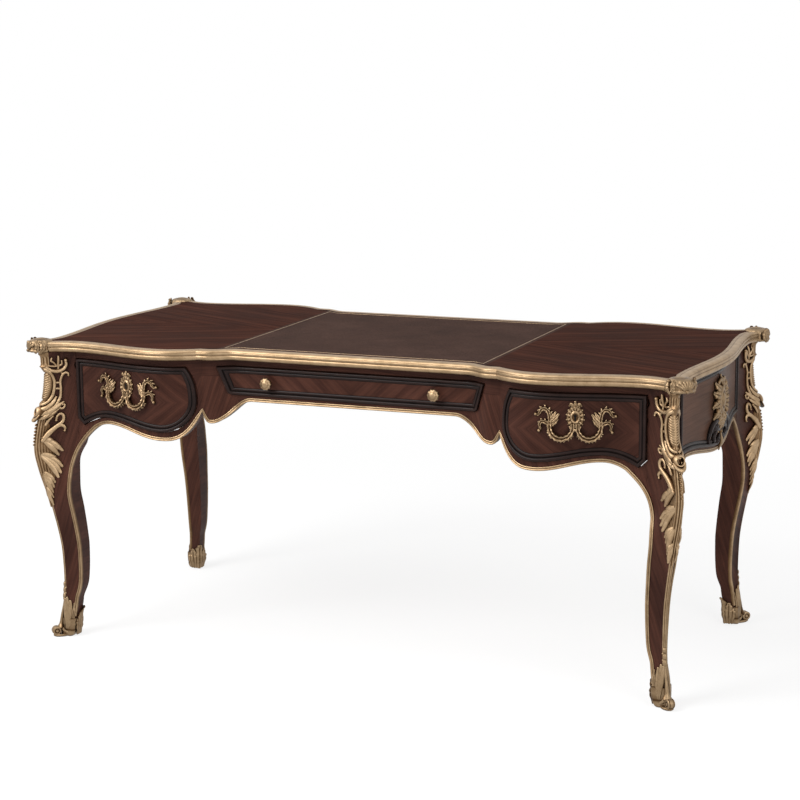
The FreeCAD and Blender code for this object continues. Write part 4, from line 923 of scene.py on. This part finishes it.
# Knee mount: a pierced cast climbing the arris from a husk to a fluted neck under the corner clasp
KNEE_FLANK = (
    # Crescent with a sprig inside it, under the top's edge
    (rib, ((48, 725, 4), (48, 715, 3), (44, 706, 3), (36, 700, 4), (25, 698, 5), (12, 702, 5), (4, 711, 6),
           (1, 722, 6), (3, 732, 6)), (4.4, 4.4, 4.8, 5.2, 4.8, 4.2, 3.4)),
    (bead, (48, 727), 5.4, 4.0),
    (rib, ((29, 704, 4), (29, 716, 4), (31, 728, 5), (32, 737, 5)), (2.8, 3.2, 3.8, 2.6)),
    (rib, ((24, 714, 4), (20, 721, 5), (15, 726, 6), (17, 733, 6)), (2.6, 3.0, 2.8, 2.2)),
    (rib, ((30, 712, 3), (20, 711, 4), (11, 713, 6)), (2.4, 3.0, 2.6)),
    (rib, ((30, 711, 4), (37, 716, 4), (38, 725, 4)), (2.4, 2.8, 2.4)),
    # Long branch beside the cartouche, with its curled tip, two bridges and a curl near its foot
    (rib, ((53, 687, 2), (52, 692, 2), (46, 694, 2), (40, 690, 2), (36, 682, 2), (34, 670, 2), (36, 657, 2),
           (37, 643, 2), (37, 630, 2), (34, 619, 3), (29, 607, 4), (22, 595, 6), (14, 585, 8)),
     (2.6, 3.2, 3.6, 3.6, 3.6, 4.0, 4.6, 5.4, 6.0)),
    (bead, (53, 687), 3.4, 2.0),
    (rib, ((37, 692, 2), (36, 699, 3)), (2.6, 3.0)),
    (rib, ((35, 667, 2), (28, 669, 3), (21, 667, 4)), (2.4, 3.0, 2.4)),
    (rib, ((35, 652, 2), (28, 654, 3), (21, 652, 4)), (2.4, 3.0, 2.4)),
    (rib, ((36, 608, 3), (44, 602, 2), (50, 604, 2), (51, 611, 2), (46, 613, 2)), (3.6, 3.2, 2.8, 2.2)),
    (bead, (46, 612), 3.2, 2.0),
    # Rim of the cartouche
    (rib, ((2, 706, 9), (10, 698, 7), (17, 687, 5), (21, 674, 4), (22, 660, 4), (21.5, 646, 4), (19, 633, 4),
           (13, 622, 5), (4, 614, 7)), (3.4, 4.0, 4.0, 4.0, 4.0, 3.6)),
    # Leaves that run together under the cartouche, from the branch to the boss
    (petal, ((28, 632, 4), (23, 618, 7), (13, 607, 9), (3, 601, 10)), 6.0),
    (petal, ((46, 618, 2), (35, 609, 6), (21, 598, 9), (7, 590, 10)), 7.5),
    (petal, ((38, 600, 3), (29, 593, 6), (17, 585, 8), (6, 579, 9)), 6.5),
    # Hooked scroll and the curled leaf under it
    (rib, ((38, 573, 3), (38, 581, 3), (43, 588, 2), (50, 586, 2), (54, 577, 2), (52, 567, 2), (45, 560, 3),
           (35, 551, 4), (26, 541, 5), (19, 528, 5)), (2.6, 3.4, 4.0, 4.6, 5.2, 6.0, 6.4, 5.4)),
    (bead, (38, 572), 4.0, 3.0),
    (rib, ((60, 545, 2), (60, 552, 2), (54, 558, 2), (45, 558, 3), (34, 549, 4), (25, 537, 5), (17, 522, 5)),
     (2.6, 4.0, 4.8, 5.6, 6.4, 6.4, 5.0)),
    (bead, (60, 544), 3.6, 2.0),
    (rib, ((28, 582, 4), (22, 574, 5), (18, 562, 5)), (3.0, 4.0, 3.4)),
    (bead, (28, 583), 4.6, 3.0),
)

# Acanthus on a knee: the root of each lobe, the tips of its petals and their half width
ACANTHUS = (
    ((13, 530), ((37, 511), (55, 494), (45, 483)), 7.5),
    ((11, 488), ((40, 470), (50, 453), (46, 438), (39, 427)), 8.0),
    ((9, 442), ((28, 414), (23, 402), (17, 388)), 7.5),
    ((6, 404), ((15, 374), (10, 354)), 5.5),
)
BOW_SHARES = (0.4, 0.6)  # of root and tip, in the middle of a petal
BOW_RISE = 4
BOW_HEIGHT = 5.5

# Neck of a knee mount: height, half width, reach; the flutes lie between two heights
NECK = ((748, 11, 22), (743, 12, 24), (738, 9.5, 20), (733, 9, 18), (726, 9, 18), (719, 9, 18),
        (714, 10.5, 20), (711, 12, 23), (708, 10.5, 20), (703, 10, 17), (696, 10, 12))
NECK_SUNK = 4
NECK_TONES = (0.55, 6)  # middle tone, and how much the flutes change it; the tone paints shade into the flutes
NECK_FLUTED = (715, 737)
NECK_FLUTES = 12  # in half a turn
NECK_FLUTE = 0.07

# Ribbed field of the cartouche
FIELD_MIDDLE = 661
FIELD_RADII = (18, 43)
FIELD_ROWS = ((1.0, -0.5, 0.1), (1.0, 3.0, 0.3), (0.8, 5.0, 0.6), (0.5, 6.4, 0.7), (0.1, 7.0, 0.75))
FIELD_RIBS = (632, 690, 10)
FIELD_RIB_SPAN = (13, 44)

# Boss with its round hollow, and the lip under it
KNEE_BOSS = (
    (boss, (0, 595), (13.5, 13.5), ((1.2, -12, 0.0), (1.15, 5, 0.2), (1.0, 13, 0.8), (0.85, 16.5, 1.0),
                                    (0.7, 16.5, 0.9), (0.6, 13, 0.1), (0.54, 6, 0.0), (0.1, 5, 0.0)), 24),
    (rib, ((-14, 588, 8), (-9, 579, 13), (0, 575, 16), (9, 579, 13), (14, 588, 8)), (3.6, 5.4, 3.6)),
)

# Pearls on the arris
PEARLS = 7
PEARL_TOP = 562
PEARL_PITCH = 8.5
PEARL_RADIUS = 3.6
PEARL_TAPER = 0.2
PEARL_HEIGHT = 7.0

# Reeded sheet of the acanthus: half width at each height, its crown, its reeds
SHEET = ((624, 10), (614, 30), (603, 35), (592, 28), (580, 23), (568, 23), (556, 27), (542, 25), (528, 23),
         (518, 25), (507, 38), (496, 45), (486, 38), (477, 29), (468, 34), (455, 43), (441, 43), (428, 35),
         (416, 23), (406, 25), (393, 19), (379, 14), (364, 9), (352, 5), (345, 2))
SHEET_CROWN = 5.0
SHEET_EDGE = 1.2
SHEET_COLUMNS = 64
COLUMN_POWER = 1.5  # columns lie closer together near the arris
REED_PITCH = 5.2
REED_RISE = 1.3
SHEET_TONES = (0.6, 0.4, 0.25)  # middle tone, and how much the reeds and the edges change it; the tone paints shade into the reed hollows and towards the edges


def knee_flank(shape, place):
    """The half of the knee mount that lies on one face."""
    draw(shape, place, KNEE_FLANK)
    for root, tips, width in ACANTHUS:
        for tip in tips:
            u, z = (a * BOW_SHARES[0] + b * BOW_SHARES[1] for a, b in zip(root, tip))
            petal(shape, place, [(*root, 1), (u, z + BOW_RISE, BOW_HEIGHT), (*tip, 2)], width)


def knee_spine(shape):
    """The middle of the knee mount, on the arris itself."""
    rows = []
    for level, half, height in NECK:
        row, tones = [], []
        for turn in steps(0, math.pi, 24):
            fluted = NECK_FLUTED[0] < level < NECK_FLUTED[1]
            flute = NECK_FLUTE * math.cos(NECK_FLUTES * turn) if fluted else 0
            row.append(off_arris(half * math.cos(turn) * (1 + flute), level,
                                 height * math.sin(turn) * (1 + flute) - NECK_SUNK))
            tones.append(NECK_TONES[0] + NECK_TONES[1] * flute)
        rows.append(shape.row(row, tones))
    shape.tube(rows)
    boss(shape, on_leg, (0, FIELD_MIDDLE), FIELD_RADII, FIELD_ROWS, 28)
    for level in steps(*FIELD_RIBS):
        span = FIELD_RIB_SPAN[0] * math.sqrt(1 - ((level - FIELD_MIDDLE) / FIELD_RIB_SPAN[1]) ** 2)
        for end in (span, -span):
            rib(shape, on_leg, [(end, level + 4, 4.2), (end * 0.5, level, 6.2), (0, level - 3, 6.6)],
                (1.0, 1.5, 1.1))
    draw(shape, off_arris, KNEE_BOSS)
    for i in range(PEARLS):
        bead(shape, off_arris, (0, PEARL_TOP - i * PEARL_PITCH), PEARL_RADIUS - PEARL_TAPER * i, PEARL_HEIGHT)


def reeded_sheet(shape):
    """Gilt sheet wrapped round the arris, reeded down its middle and thin at its leafy edges."""
    rows = []
    for station in smooth_line(SHEET, 4):
        z, half = station.x, station.y
        row, tones = [on_leg(-half, z, -SHEET_EDGE)], [0.0]
        for t in steps(-1, 1, SHEET_COLUMNS):
            u = half * math.copysign(abs(t) ** COLUMN_POWER, t)
            wave = math.cos(2 * math.pi * u / REED_PITCH) * (1 - t ** 2)
            crown = SHEET_EDGE + (SHEET_CROWN - SHEET_EDGE) * (1 - t ** 2)
            row.append(on_leg(u, z, crown + REED_RISE * wave))
            tones.append(SHEET_TONES[0] + SHEET_TONES[1] * wave - SHEET_TONES[2] * abs(t))
        rows.append(shape.row(row + [on_leg(half, z, -SHEET_EDGE)], tones + [0.0]))
    shape.tube(rows)


knee = Shape()
for place in both_ways(on_leg):
    knee_flank(knee, place)
knee_spine(knee)
reeded_sheet(knee)
at_corners(knee, "knee_cast", gilt_cast, "knee_mount")

# Reeded strip down each arris, from under the knee mount into the shoe: place round the arris, height, tone
ARRIS_PROFILE = mirrored((
    (8.5, -1.5, 0.0), (8.3, 0.8, 0.5), (7.0, 2.2, 0.95), (5.0, 2.3, 1.0), (3.4, 1.7, 0.5), (2.8, 1.4, 0.35),
    (2.2, 1.7, 0.5), (1.2, 2.6, 1.0), (0.0, 2.9, 1.0)))
ARRIS_ENDS = (60.0, 430.0)
strip = Shape().sweep(steps(*ARRIS_ENDS, 40), ARRIS_PROFILE, lambda z, u, height: on_leg(u, z, height))
strip.copies(*CORNERS.values()).piece("arris_reeds", "table", gilt_painted_shade_mild, ["leg_strips"])

# Shoe: a sock round the foot, leaves up its faces, husks up the arris and a scrolled toe
FOOT_MIDDLE = (788.1, -348.7)
FOOT_HALF = 18.5
FOOT_ROUND = 7.0
TOE_MIDDLE = Vector((817.0, -377.6, 16.0))

# Rows of the sock: height, thickness, shift towards the toe, tone
SOCK = ((0.5, -5.0, 7.0, 0.2), (3.0, -2.5, 6.5, 0.7), (8.0, -0.5, 5.0, 1.0), (14.0, 0.8, 3.5, 0.8),
        (18.0, 0.6, 2.8, 0.2), (22.0, 1.6, 2.0, 0.6), (34.0, 2.6, 0.0, 0.8), (46.0, 2.4, 0.0, 0.7),
        (49.0, 1.8, 0.0, 0.4), (50.0, -1.0, 0.0, 0.0))
SOCK_CORNER = math.radians(135)  # way to the foot's inner corner
SOCK_POWER = 6  # of the rounded square that the leaves inside follow

# Leaves round the inner side of a shoe: place of root and tip, height of the tip, its flare, half width
SOCK_LEAVES = ((0, 0, 70, 12, 8.0), (12, 13, 58, 7, 7.0), (6, 6, 42, 6, 6.0), (19, 20, 44, 4, 6.0))
LEAF_BELLY = 0.55
LEAF_NECK = 0.86

# Sole under the toe: its middle out from the foot's, its half width and half length, and its rows
SOLE_OUT = 26.0
SOLE_RADII = (14.0, 23.0)
SOLE_ROWS = ((0.86, 0.5, 0.1), (1.0, 2.5, 0.6), (1.0, 5.0, 0.9), (0.88, 7.0, 0.6), (0.1, 8.0, 0.3))

# The toe's roll: distance along it, radius, tone
TOE_PROFILE = mirrored((
    (-8.6, 1.0, 0.9), (-9.0, 3.0, 1.0), (-8.0, 4.4, 0.1), (-8.0, 6.0, 0.1), (-9.0, 7.4, 0.9),
    (-8.6, 10.2, 1.0), (-7.2, 11.6, 0.9), (-5.4, 10.8, 0.2), (-3.6, 11.6, 0.8), (-1.2, 11.4, 0.9)))

# The half of a shoe's ornament that lies on one face
SHOE_FLANK = (
    (petal, ((18, 22, 6.5), (15.5, 61.5, 5), (11, 101, 2)), 6.0),
    (petal, ((22, 22, 6.5), (21.5, 57, 5), (19, 92, 2)), 6.5),
    (petal, ((14, 22, 6.5), (10.5, 60, 5), (5, 98, 2)), 5.0),
    (leaf, ((30, 22, 5), (31, 46, 5), (31, 66, 4), (30, 86, 2)), 4.6, 3),
    (rib, ((23, 65, 2), (29, 66, 2)), (2.4, 2.6)),
    (rib, ((34, 35, 2), (31, 24, 1), (26, 15, 0), (17, 11, 3), (8, 15, 6), (3, 25, 7)),
     (2.6, 3.6, 4.2, 4.2, 3.6)),
    (bead, (19, 21), 4.4, 3.0),
)

# Stem up the arris, and its husks: height and radius of each
SHOE_STEM = (((0, 24, 12), (0, 36, 8), (0, 60, 4), (0, 98, -2), (0, 142, -3.5)), (7.0, 5.0, 4.6, 5.6, 6.0))
HUSKS = ((107, 8.6), (122, 8.0), (137, 7.2))
HUSK_STRETCH = 1.15
HUSK_ROWS = ((1.0, -1, 0.0), (0.95, 2.4, 0.4), (0.7, 4.6, 1.0), (0.35, 5.6, 1.0), (0.08, 5.8, 1.0))


def sock_ring(wall, shift):
    """Points round the foot at a distance off the wood."""
    ring = []
    reach = FOOT_HALF + wall - FOOT_ROUND
    out = OUTWARD * shift
    for quarter_turn in range(4):
        for angle in steps(0, 90, 4):
            turn = math.radians(90 * quarter_turn + angle)
            middle = math.radians(90 * quarter_turn + 45)
            x = FOOT_MIDDLE[0] + reach * math.copysign(1, math.cos(middle)) + FOOT_ROUND * math.cos(turn)
            y = FOOT_MIDDLE[1] + reach * math.copysign(1, math.sin(middle)) + FOOT_ROUND * math.sin(turn)
            ring.append((x + out.x, y + out.y))
    return ring


def on_sole(across, out, height):
    """Places the sole, along the diagonal under the toe."""
    return Vector((*FOOT_MIDDLE, height)) + ACROSS * across + OUTWARD * (SOLE_OUT + out)


def on_sock(across, z, height):
    """Places ornament round the inner side of the foot, across from its inner corner."""
    angle = SOCK_CORNER + across / FOOT_HALF
    way = Vector((math.cos(angle), math.sin(angle), 0))
    reach = FOOT_HALF / (abs(way.x) ** SOCK_POWER + abs(way.y) ** SOCK_POWER) ** (1 / SOCK_POWER)
    return Vector((*FOOT_MIDDLE, z)) + way * (reach + height)


def shoe_inside(shape, place):
    """Leaves that stand round one half of a shoe's inner side, their tips turned out."""
    for root, tip, top, flare, half in SOCK_LEAVES:
        belly = ((root + tip) / 2, top * LEAF_BELLY, 4)
        leaf(shape, place, [(root, 6, 0), belly, (tip, top * LEAF_NECK, 5), (tip, top, flare)], half, 3)


def toe_point(turn, along, radius):
    """Places the toe's roll, which lies across the foot's diagonal."""
    spoke = Matrix.Rotation(turn, 3, ACROSS) @ ACROSS.orthogonal().normalized()
    return TOE_MIDDLE + ACROSS * along + spoke * radius


shoe = Shape()
sock_rows = []
for z, wall, shift, tone in SOCK:
    ring = [(x, y, z) for x, y in sock_ring(wall, shift)]
    sock_rows.append(shoe.row(ring, [tone] * len(ring)))
shoe.tube(sock_rows)
for place in both_ways(on_leg):
    draw(shoe, place, SHOE_FLANK)
for place in both_ways(on_sock):
    shoe_inside(shoe, place)
boss(shoe, on_sole, (0, 0), SOLE_RADII, SOLE_ROWS, 28)
rib(shoe, on_leg, *SHOE_STEM)
for level, radius in HUSKS:
    boss(shoe, on_leg, (0, level), (radius, radius * HUSK_STRETCH), HUSK_ROWS, 14)
    rib(shoe, on_leg, [(-7, level - 8, 1), (0, level - 9, 3), (7, level - 8, 1)], (2.0, 2.4, 2.0))
shoe.stack(TOE_PROFILE, turns(24), toe_point)
at_corners(shoe, "shoe_cast", gilt_painted_shade_strong, "shoe")

# Corner clasps: a lobed cap over the ear, a shell outside and a curled leaf over each end of the edge
CLASP_MIDDLE = Vector((828.66, -377.66, 0))
CLASP_ROWS = ((749.5, 30.0, 0.1), (751.0, 33.5, 0.6), (754.5, 34.5, 1.0), (758.0, 32.0, 0.2),
              (766.0, 31.0, 0.5), (773.0, 30.5, 0.7), (777.5, 27.5, 1.0), (780.5, 21.0, 0.8),
              (781.0, 15.0, 0.2), (783.0, 10.0, 0.9), (784.2, 2.0, 1.0))
CLASP_ROUND = 31.0
CLASP_LOBES = 14
CLASP_LOBE = 0.035
CLASP_SHADE = 0.4  # least tone, so that its hollows aren't black


def on_clasp(around, z, height):
    """Places ornament on the cap's wall, around it from the outward diagonal."""
    turn = Matrix.Rotation(around / CLASP_ROUND, 3, "Z")
    return CLASP_MIDDLE + turn @ OUTWARD * (CLASP_ROUND + height) + Vector((0, 0, z))


def cap_point(turn, z, radius):
    """Places the lobed cap."""
    lobe = 1 + CLASP_LOBE * math.cos(CLASP_LOBES * turn)
    return on_clasp(turn * CLASP_ROUND, z, radius * lobe - CLASP_ROUND)


clasp = Shape().stack(CLASP_ROWS, turns(56), cap_point)
for fan in steps(-1, 1, 6):
    rib(clasp, on_clasp, [(fan * 4, 755, 1), (fan * 12, 764, 2.5), (fan * 21, 775 - 6 * fan ** 2, 0.4)],
        (1.6, 3.0, 3.8))
bead(clasp, on_clasp, (0, 754), 5.0, 1.5)
for hand in (1, -1):
    leaf(clasp, on_clasp, [(hand * 28, 751, 1), (hand * 33, 764, 2.2), (hand * 31, 779, 0.5)], 6.5, 3)
    leaf(clasp, on_clasp, [(hand * 40, 751, 4), (hand * 46, 764, 7), (hand * 43, 778, 4)], 6.5, 3)
    bead(clasp, on_clasp, (hand * 42, 778), 4.0, 3.0)
clasp.tones = [CLASP_SHADE + (1 - CLASP_SHADE) * tone for tone in clasp.tones]
clasp.copies(*CORNERS.values()).piece("clasp_cast", "table", gilt_painted_shade_strong, ["corner_clasps"])

# Mount on each side: one half of its gilt leaves and scrolls
SIDE_FLANK = (
    (rib, ((3, 702, 8), (13, 714, 6), (23, 711, 5), (26, 701, 4), (18, 696, 5)), (4.4, 5.0, 4.6, 4.0, 3.2)),
    (leaf, ((18, 692, 8), (33, 697, 8), (44, 709, 3)), 9.5),
    (leaf, ((22, 678, 8), (40, 680, 9), (54, 687, 3)), 10.0),
    (leaf, ((24, 660, 8), (42, 660, 10), (58, 653, 3)), 11.0),
    (leaf, ((22, 645, 8), (38, 638, 10), (52, 624, 3)), 11.0),
    (leaf, ((12, 632, 8), (24, 618, 9), (34, 601, 3)), 10.0),
    (leaf, ((6, 622, 8), (11, 604, 8), (14, 588, 3)), 8.0),
    (rib, ((26, 688, 6), (31, 672, 7), (30, 654, 7), (22, 638, 6)), (3.0, 4.4, 4.4, 3.0)),
)

# Its middle: the cartouche and the hanging leaf
SIDE_SPINE = (
    (boss, (0, 664), (26, 38), ((1.0, -1, 0.0), (1.0, 7, 0.2), (0.86, 11, 0.8), (0.66, 13, 1.0),
                                (0.5, 11, 0.2), (0.42, 13, 0.8), (0.25, 16, 1.0), (0.05, 17, 1.0)),
     30, 10, 0.05),
    (leaf, ((0, 694, 10), (0, 708, 9), (0, 722, 3)), 9.0),
    (leaf, ((0, 634, 10), (0, 614, 8), (0, 592, 4)), 10.0),
    (bead, (0, 586), 6.0, 4.0),
    (leaf, ((0, 580, 6), (0, 562, 7), (0, 543, 2)), 8.5, 3),
)

# Black carved scrolls beside the hanging leaf, one half
SIDE_SCROLLS = (
    (rib, ((6, 604, 4), (24, 615, 5), (48, 618, 5), (70, 610, 4), (87, 595, 4), (92, 580, 3), (84, 572, 3)),
     (4.0, 5.4, 6.2, 6.2, 5.6, 4.6, 3.6)),
    (bead, (83, 574), 5.0, 3.0),
    (rib, ((8, 590, 4), (28, 597, 5), (47, 593, 5), (58, 581, 4), (52, 571, 4), (45, 576, 4)),
     (4.0, 5.0, 5.6, 5.0, 4.0, 3.2)),
    (leaf, ((18, 606, 6), (40, 607, 7), (64, 595, 4)), 7.0),
    (leaf, ((8, 578, 4), (22, 570, 6), (36, 560, 3)), 7.0),
)

side_cast = Shape()
side_carving = Shape()
for place in both_ways(on_side):
    draw(side_cast, place, SIDE_FLANK)
    draw(side_carving, place, SIDE_SCROLLS)
draw(side_cast, on_side, SIDE_SPINE)
side_cast.copies("", "x").piece("side_cast", "table", gilt_painted_shade_strong, ["side_mounts"])
side_carving.copies("", "x").piece("side_carving", "table", black)

# Drawer pulls: the middle between the loops, and the key plate above it
PULL_X = 584.0
PULL_Z = 652.0
KEYHOLE_RISE = 22.5
PLATE_RADII = (19.0, 26.0)
PLATE_ROWS = ((1.0, -2, 0.0), (1.0, 2.6, 0.2), (0.9, 4.6, 0.7), (0.76, 4.2, 0.4), (0.66, 3.0, 0.05),
              (0.58, 5.0, 0.8), (0.48, 6.6, 1.0), (0.38, 5.6, 0.6), (0.32, 4.4, 0.2), (0.05, 4.4, 0.3))
PLATE_PETALS = 14
PLATE_PETAL = ((0.7, 3.6), (0.9, 4.2), (1.0, 1.8))  # share of the plate's radius, height

# One hanging loop with its curled and leafy ends
LOOP = ((6, 4, 4), (7, -10, 7), (16, -22, 10), (31, -27, 11), (46, -22, 10), (55, -10, 8), (57, 4, 6),
        (56, 17, 5), (58, 29, 5))
HIGH_CURL = ((57, 24, 5), (60, 35, 5), (67, 41, 5), (75, 39, 5), (80, 31, 4), (84, 26, 3), (90, 27, 3))
LOW_CURL = ((57, 2, 6), (66, 10, 5), (75, 11, 5), (80, 4, 4), (79, -5, 3), (82, -11, 3))
PULL_SIDE = (
    (rib, LOOP, (4.2, 5.4, 6.2, 6.6, 6.2, 5.6, 4.8, 4.2), GROOVED_RIB, 8, 11),
    (crest, LOOP[1:6], -1, 10, 8.0),
    (rib, HIGH_CURL, (3.8, 5.0, 5.0, 4.4, 3.4, 2.6, 2.4), GROOVED_RIB, 6, 6),
    (crest, HIGH_CURL[:5], 1, 5, 7.0),
    (bead, HIGH_CURL[-1][:2], 4.2, 3.0),
    (rib, LOW_CURL, (4.0, 4.6, 4.4, 3.6, 2.8, 2.4), GROOVED_RIB, 6, 5),
    (crest, LOW_CURL[:4], 1, 4, 6.0),
    (bead, LOW_CURL[-1][:2], 4.4, 3.0),
    (leaf, ((58, 8, 7), (47, 17, 6), (38, 28, 3)), 5.5, 3),
    (leaf, ((58, 0, 7), (48, 7, 6), (40, 16, 3)), 4.5, 3),
    (leaf, ((58, 18, 6), (50, 24.5, 6), (44, 33, 3)), 4.0, 3),
)

# Keyhole as black discs, painted shade standing for the dark hole: a round eye over a slot
KEYHOLE = (
    (boss, (0, 3.5), (3.4, 3.4), ((1.0, 4.0, 0.0), (1.0, 4.8, 0.0), (0.1, 4.8, 0.0)), 12),
    (boss, (0, -3), (2.2, 6.0), ((1.0, 4.0, 0.0), (1.0, 4.85, 0.0), (0.1, 4.85, 0.0)), 10),
)

# Knobs of the centre drawer: a turned stem under a small rosette
KNOB_X = 220.0
KNOB_Z = 695.0
KNOB = (
    (boss, (0, 0), (13.5, 13.5), ((0.62, -1, 0.1), (0.6, 3, 0.2), (0.36, 6, 0.2), (0.36, 11, 0.3),
                                  (0.7, 14, 0.4), (1.0, 17, 0.7)), 32),
    (boss, (0, 0), (15.0, 15.0), ((0.9, 14, 0.3), (1.0, 17.5, 0.7), (0.94, 20.5, 1.0), (0.78, 22.6, 0.9),
                                  (0.6, 23.4, 0.6), (0.54, 24.2, 0.8), (0.4, 25.6, 1.0), (0.22, 26.4, 1.0),
                                  (0.05, 26.6, 1.0)), 40, 10, 0.06),
)


def on_face(x, z, height):
    """Places ornament on a drawer's face."""
    return on_front(x, z, FACE_REACH + height)


def pull_plate(shape, place):
    """The oval key plate between the loops, with its leafy rim and flame."""
    boss(shape, place, (0, 0), PLATE_RADII, PLATE_ROWS, 40, PLATE_PETALS, 0.05)
    for i in range(PLATE_PETALS):
        angle = 2 * math.pi * (i + 0.5) / PLATE_PETALS
        spoke = (PLATE_RADII[0] * math.cos(angle), PLATE_RADII[1] * math.sin(angle))
        path = [(spoke[0] * share, spoke[1] * share, height) for share, height in PLATE_PETAL]
        rib(shape, place, path, (2.4, 3.6, 2.4), PETAL_RIB, 3)
    for hand in (1, -1):
        leaf(shape, place, [(hand * 2, 25, 4), (hand * 9, 30, 5), (hand * 13, 27, 2)], 4.0, 2)
        rib(shape, place, [(hand * 2, -26, 3), (hand * 8, -28, 5), (hand * 12, -22, 3)], (2.4, 3.4, 2.0))
    leaf(shape, place, [(0, 25, 4), (0, 30, 6), (0, 36, 2)], 4.5, 2)
    rib(shape, place, [(-6, -27, 5), (0, -29, 7), (6, -27, 5)], (2.8, 4.0, 2.8))


on_pull = moved(on_face, PULL_X, PULL_Z)
on_plate = moved(on_pull, 0, KEYHOLE_RISE)
pull = Shape()
for place in both_ways(on_pull):
    draw(pull, place, PULL_SIDE)
pull_plate(pull, on_plate)
on_both_drawers(pull, "drawer_pull", gilt_painted_shade_mild, "pull")
# Painted shade for the keyhole's opening
painted_keyhole_shade = Shape()
draw(painted_keyhole_shade, on_plate, KEYHOLE)
on_both_drawers(painted_keyhole_shade, "keyhole", black)
knob = Shape()
draw(knob, moved(on_face, KNOB_X, KNOB_Z), KNOB)
knob.copies("", "x").piece("centre_knobs", "centre_drawer", gilt_painted_shade_mild, ["centre_drawer_knobs"])

# Studio: white floor, soft light, camera at the photographed angle
FLOOR_SIZE = 60000.0
FLOOR_SHADOW = 0.2
SHADOW_REACH = (1.3, 2.6)  # metres from the middle, over which the floor fades to white
ROOM_LEVEL = 0.55
BRIGHT = {"Color": (1, 1, 1, 1), "Strength": 1.0}


def seen_rays(tree):
    """1 for rays that show the background: from the camera, in a gloss or through glass."""
    path = node(tree, "ShaderNodeLightPath")
    total = path.outputs["Is Camera Ray"]
    for kind in ("Is Glossy Ray", "Is Transmission Ray"):
        most = node(tree, "ShaderNodeMath", {0: total, 1: path.outputs[kind]}, operation="MAXIMUM")
        total = most.outputs["Value"]
    return total


def mixed(tree, share, first, second, end):
    """Joins a mix of two shader nodes to the tree's output."""
    mix = node(tree, "ShaderNodeMixShader", {0: share, 1: first.outputs[0], 2: second.outputs[0]})
    tree.links.new(mix.outputs[0], tree.nodes[end].inputs["Surface"])


floor_mesh = bpy.data.meshes.new("floor")
floor_corners = ((-1, -1), (1, -1), (1, 1), (-1, 1))
floor_mesh.from_pydata([Vector((x * FLOOR_SIZE, y * FLOOR_SIZE, 0)) * MM for x, y in floor_corners],
                       [], [(0, 1, 2, 3)])
floor = bpy.data.objects.new("floor", floor_mesh)
scene.collection.objects.link(floor)
floor_material, floor_tree = new_material("floor_white")
floor_shader = floor_tree.nodes["Principled BSDF"]
floor_shader.inputs["Base Color"].default_value = (0.97, 0.97, 0.97, 1)
floor_shader.inputs["Roughness"].default_value = 1.0
floor_shader.inputs[SPECULAR].default_value = 0.0
glow = node(floor_tree, "ShaderNodeEmission", BRIGHT)
place_on_floor = node(floor_tree, "ShaderNodeTexCoord").outputs["Object"]
far_off = node(floor_tree, "ShaderNodeVectorMath", {0: place_on_floor}, operation="LENGTH").outputs["Value"]
white = spans(floor_tree, far_off, *SHADOW_REACH, 1 - FLOOR_SHADOW, 1)
share = node(floor_tree, "ShaderNodeMath", {0: seen_rays(floor_tree), 1: white}, operation="MULTIPLY")
mixed(floor_tree, share.outputs["Value"], floor_shader, glow, "Material Output")
floor_mesh.materials.append(floor_material)

world = bpy.data.worlds.new("studio")
scene.world = world
world.use_nodes = True
world_tree = world.node_tree
room = world_tree.nodes["Background"]
room.inputs["Color"].default_value = (1, 1, 1, 1)
room.inputs["Strength"].default_value = ROOM_LEVEL
backdrop = node(world_tree, "ShaderNodeBackground", BRIGHT)
mixed(world_tree, seen_rays(world_tree), room, backdrop, "World Output")


def area_light(name, position, aim, size, power):
    """A soft square lamp; position and aim in metres."""
    lamp = bpy.data.lights.new(name, "AREA")
    lamp.shape = "SQUARE"
    lamp.size = size
    lamp.energy = power
    made = bpy.data.objects.new(name, lamp)
    made.location = position
    made.rotation_euler = (Vector(aim) - Vector(position)).to_track_quat("-Z", "Y").to_euler()
    scene.collection.objects.link(made)


area_light("key_light", (-2.4, -3.4, 3.4), (0, 0, 0.6), 2.2, 170.0)
area_light("fill_light", (3.4, -2.6, 2.0), (0, 0, 0.5), 2.0, 60.0)
area_light("top_light", (-1.2, -1.0, 3.4), (-0.2, 0, 0.7), 3.0, 65.0)

# Camera, fitted to the photo
AZIMUTH = math.radians(22.32)
ELEVATION = math.radians(10.92)
ROLL = math.radians(-0.52)
DISTANCE = 5411.93
TARGET = Vector((-3.54, 0.0, 607.93))
FOCAL_SHARE = 2114.37 / 800
SENSOR = 36.0
away = Vector((math.sin(AZIMUTH) * math.cos(ELEVATION), -math.cos(AZIMUTH) * math.cos(ELEVATION),
               math.sin(ELEVATION)))
right = Vector((math.cos(AZIMUTH), math.sin(AZIMUTH), 0))
up = away.cross(right)
rolled_right = right * math.cos(ROLL) + up * math.sin(ROLL)
rolled_up = up * math.cos(ROLL) - right * math.sin(ROLL)
camera = bpy.data.cameras.new("photo_camera")
camera.sensor_width = SENSOR
camera.lens = FOCAL_SHARE * SENSOR
camera.clip_end = 200.0
viewer = bpy.data.objects.new("photo_camera", camera)
scene.collection.objects.link(viewer)
viewer.matrix_world = (Matrix.Translation((TARGET + away * DISTANCE) * MM)
                       @ Matrix((rolled_right, rolled_up, away)).transposed().to_4x4())
scene.camera = viewer
scene.view_settings.view_transform = "Standard"
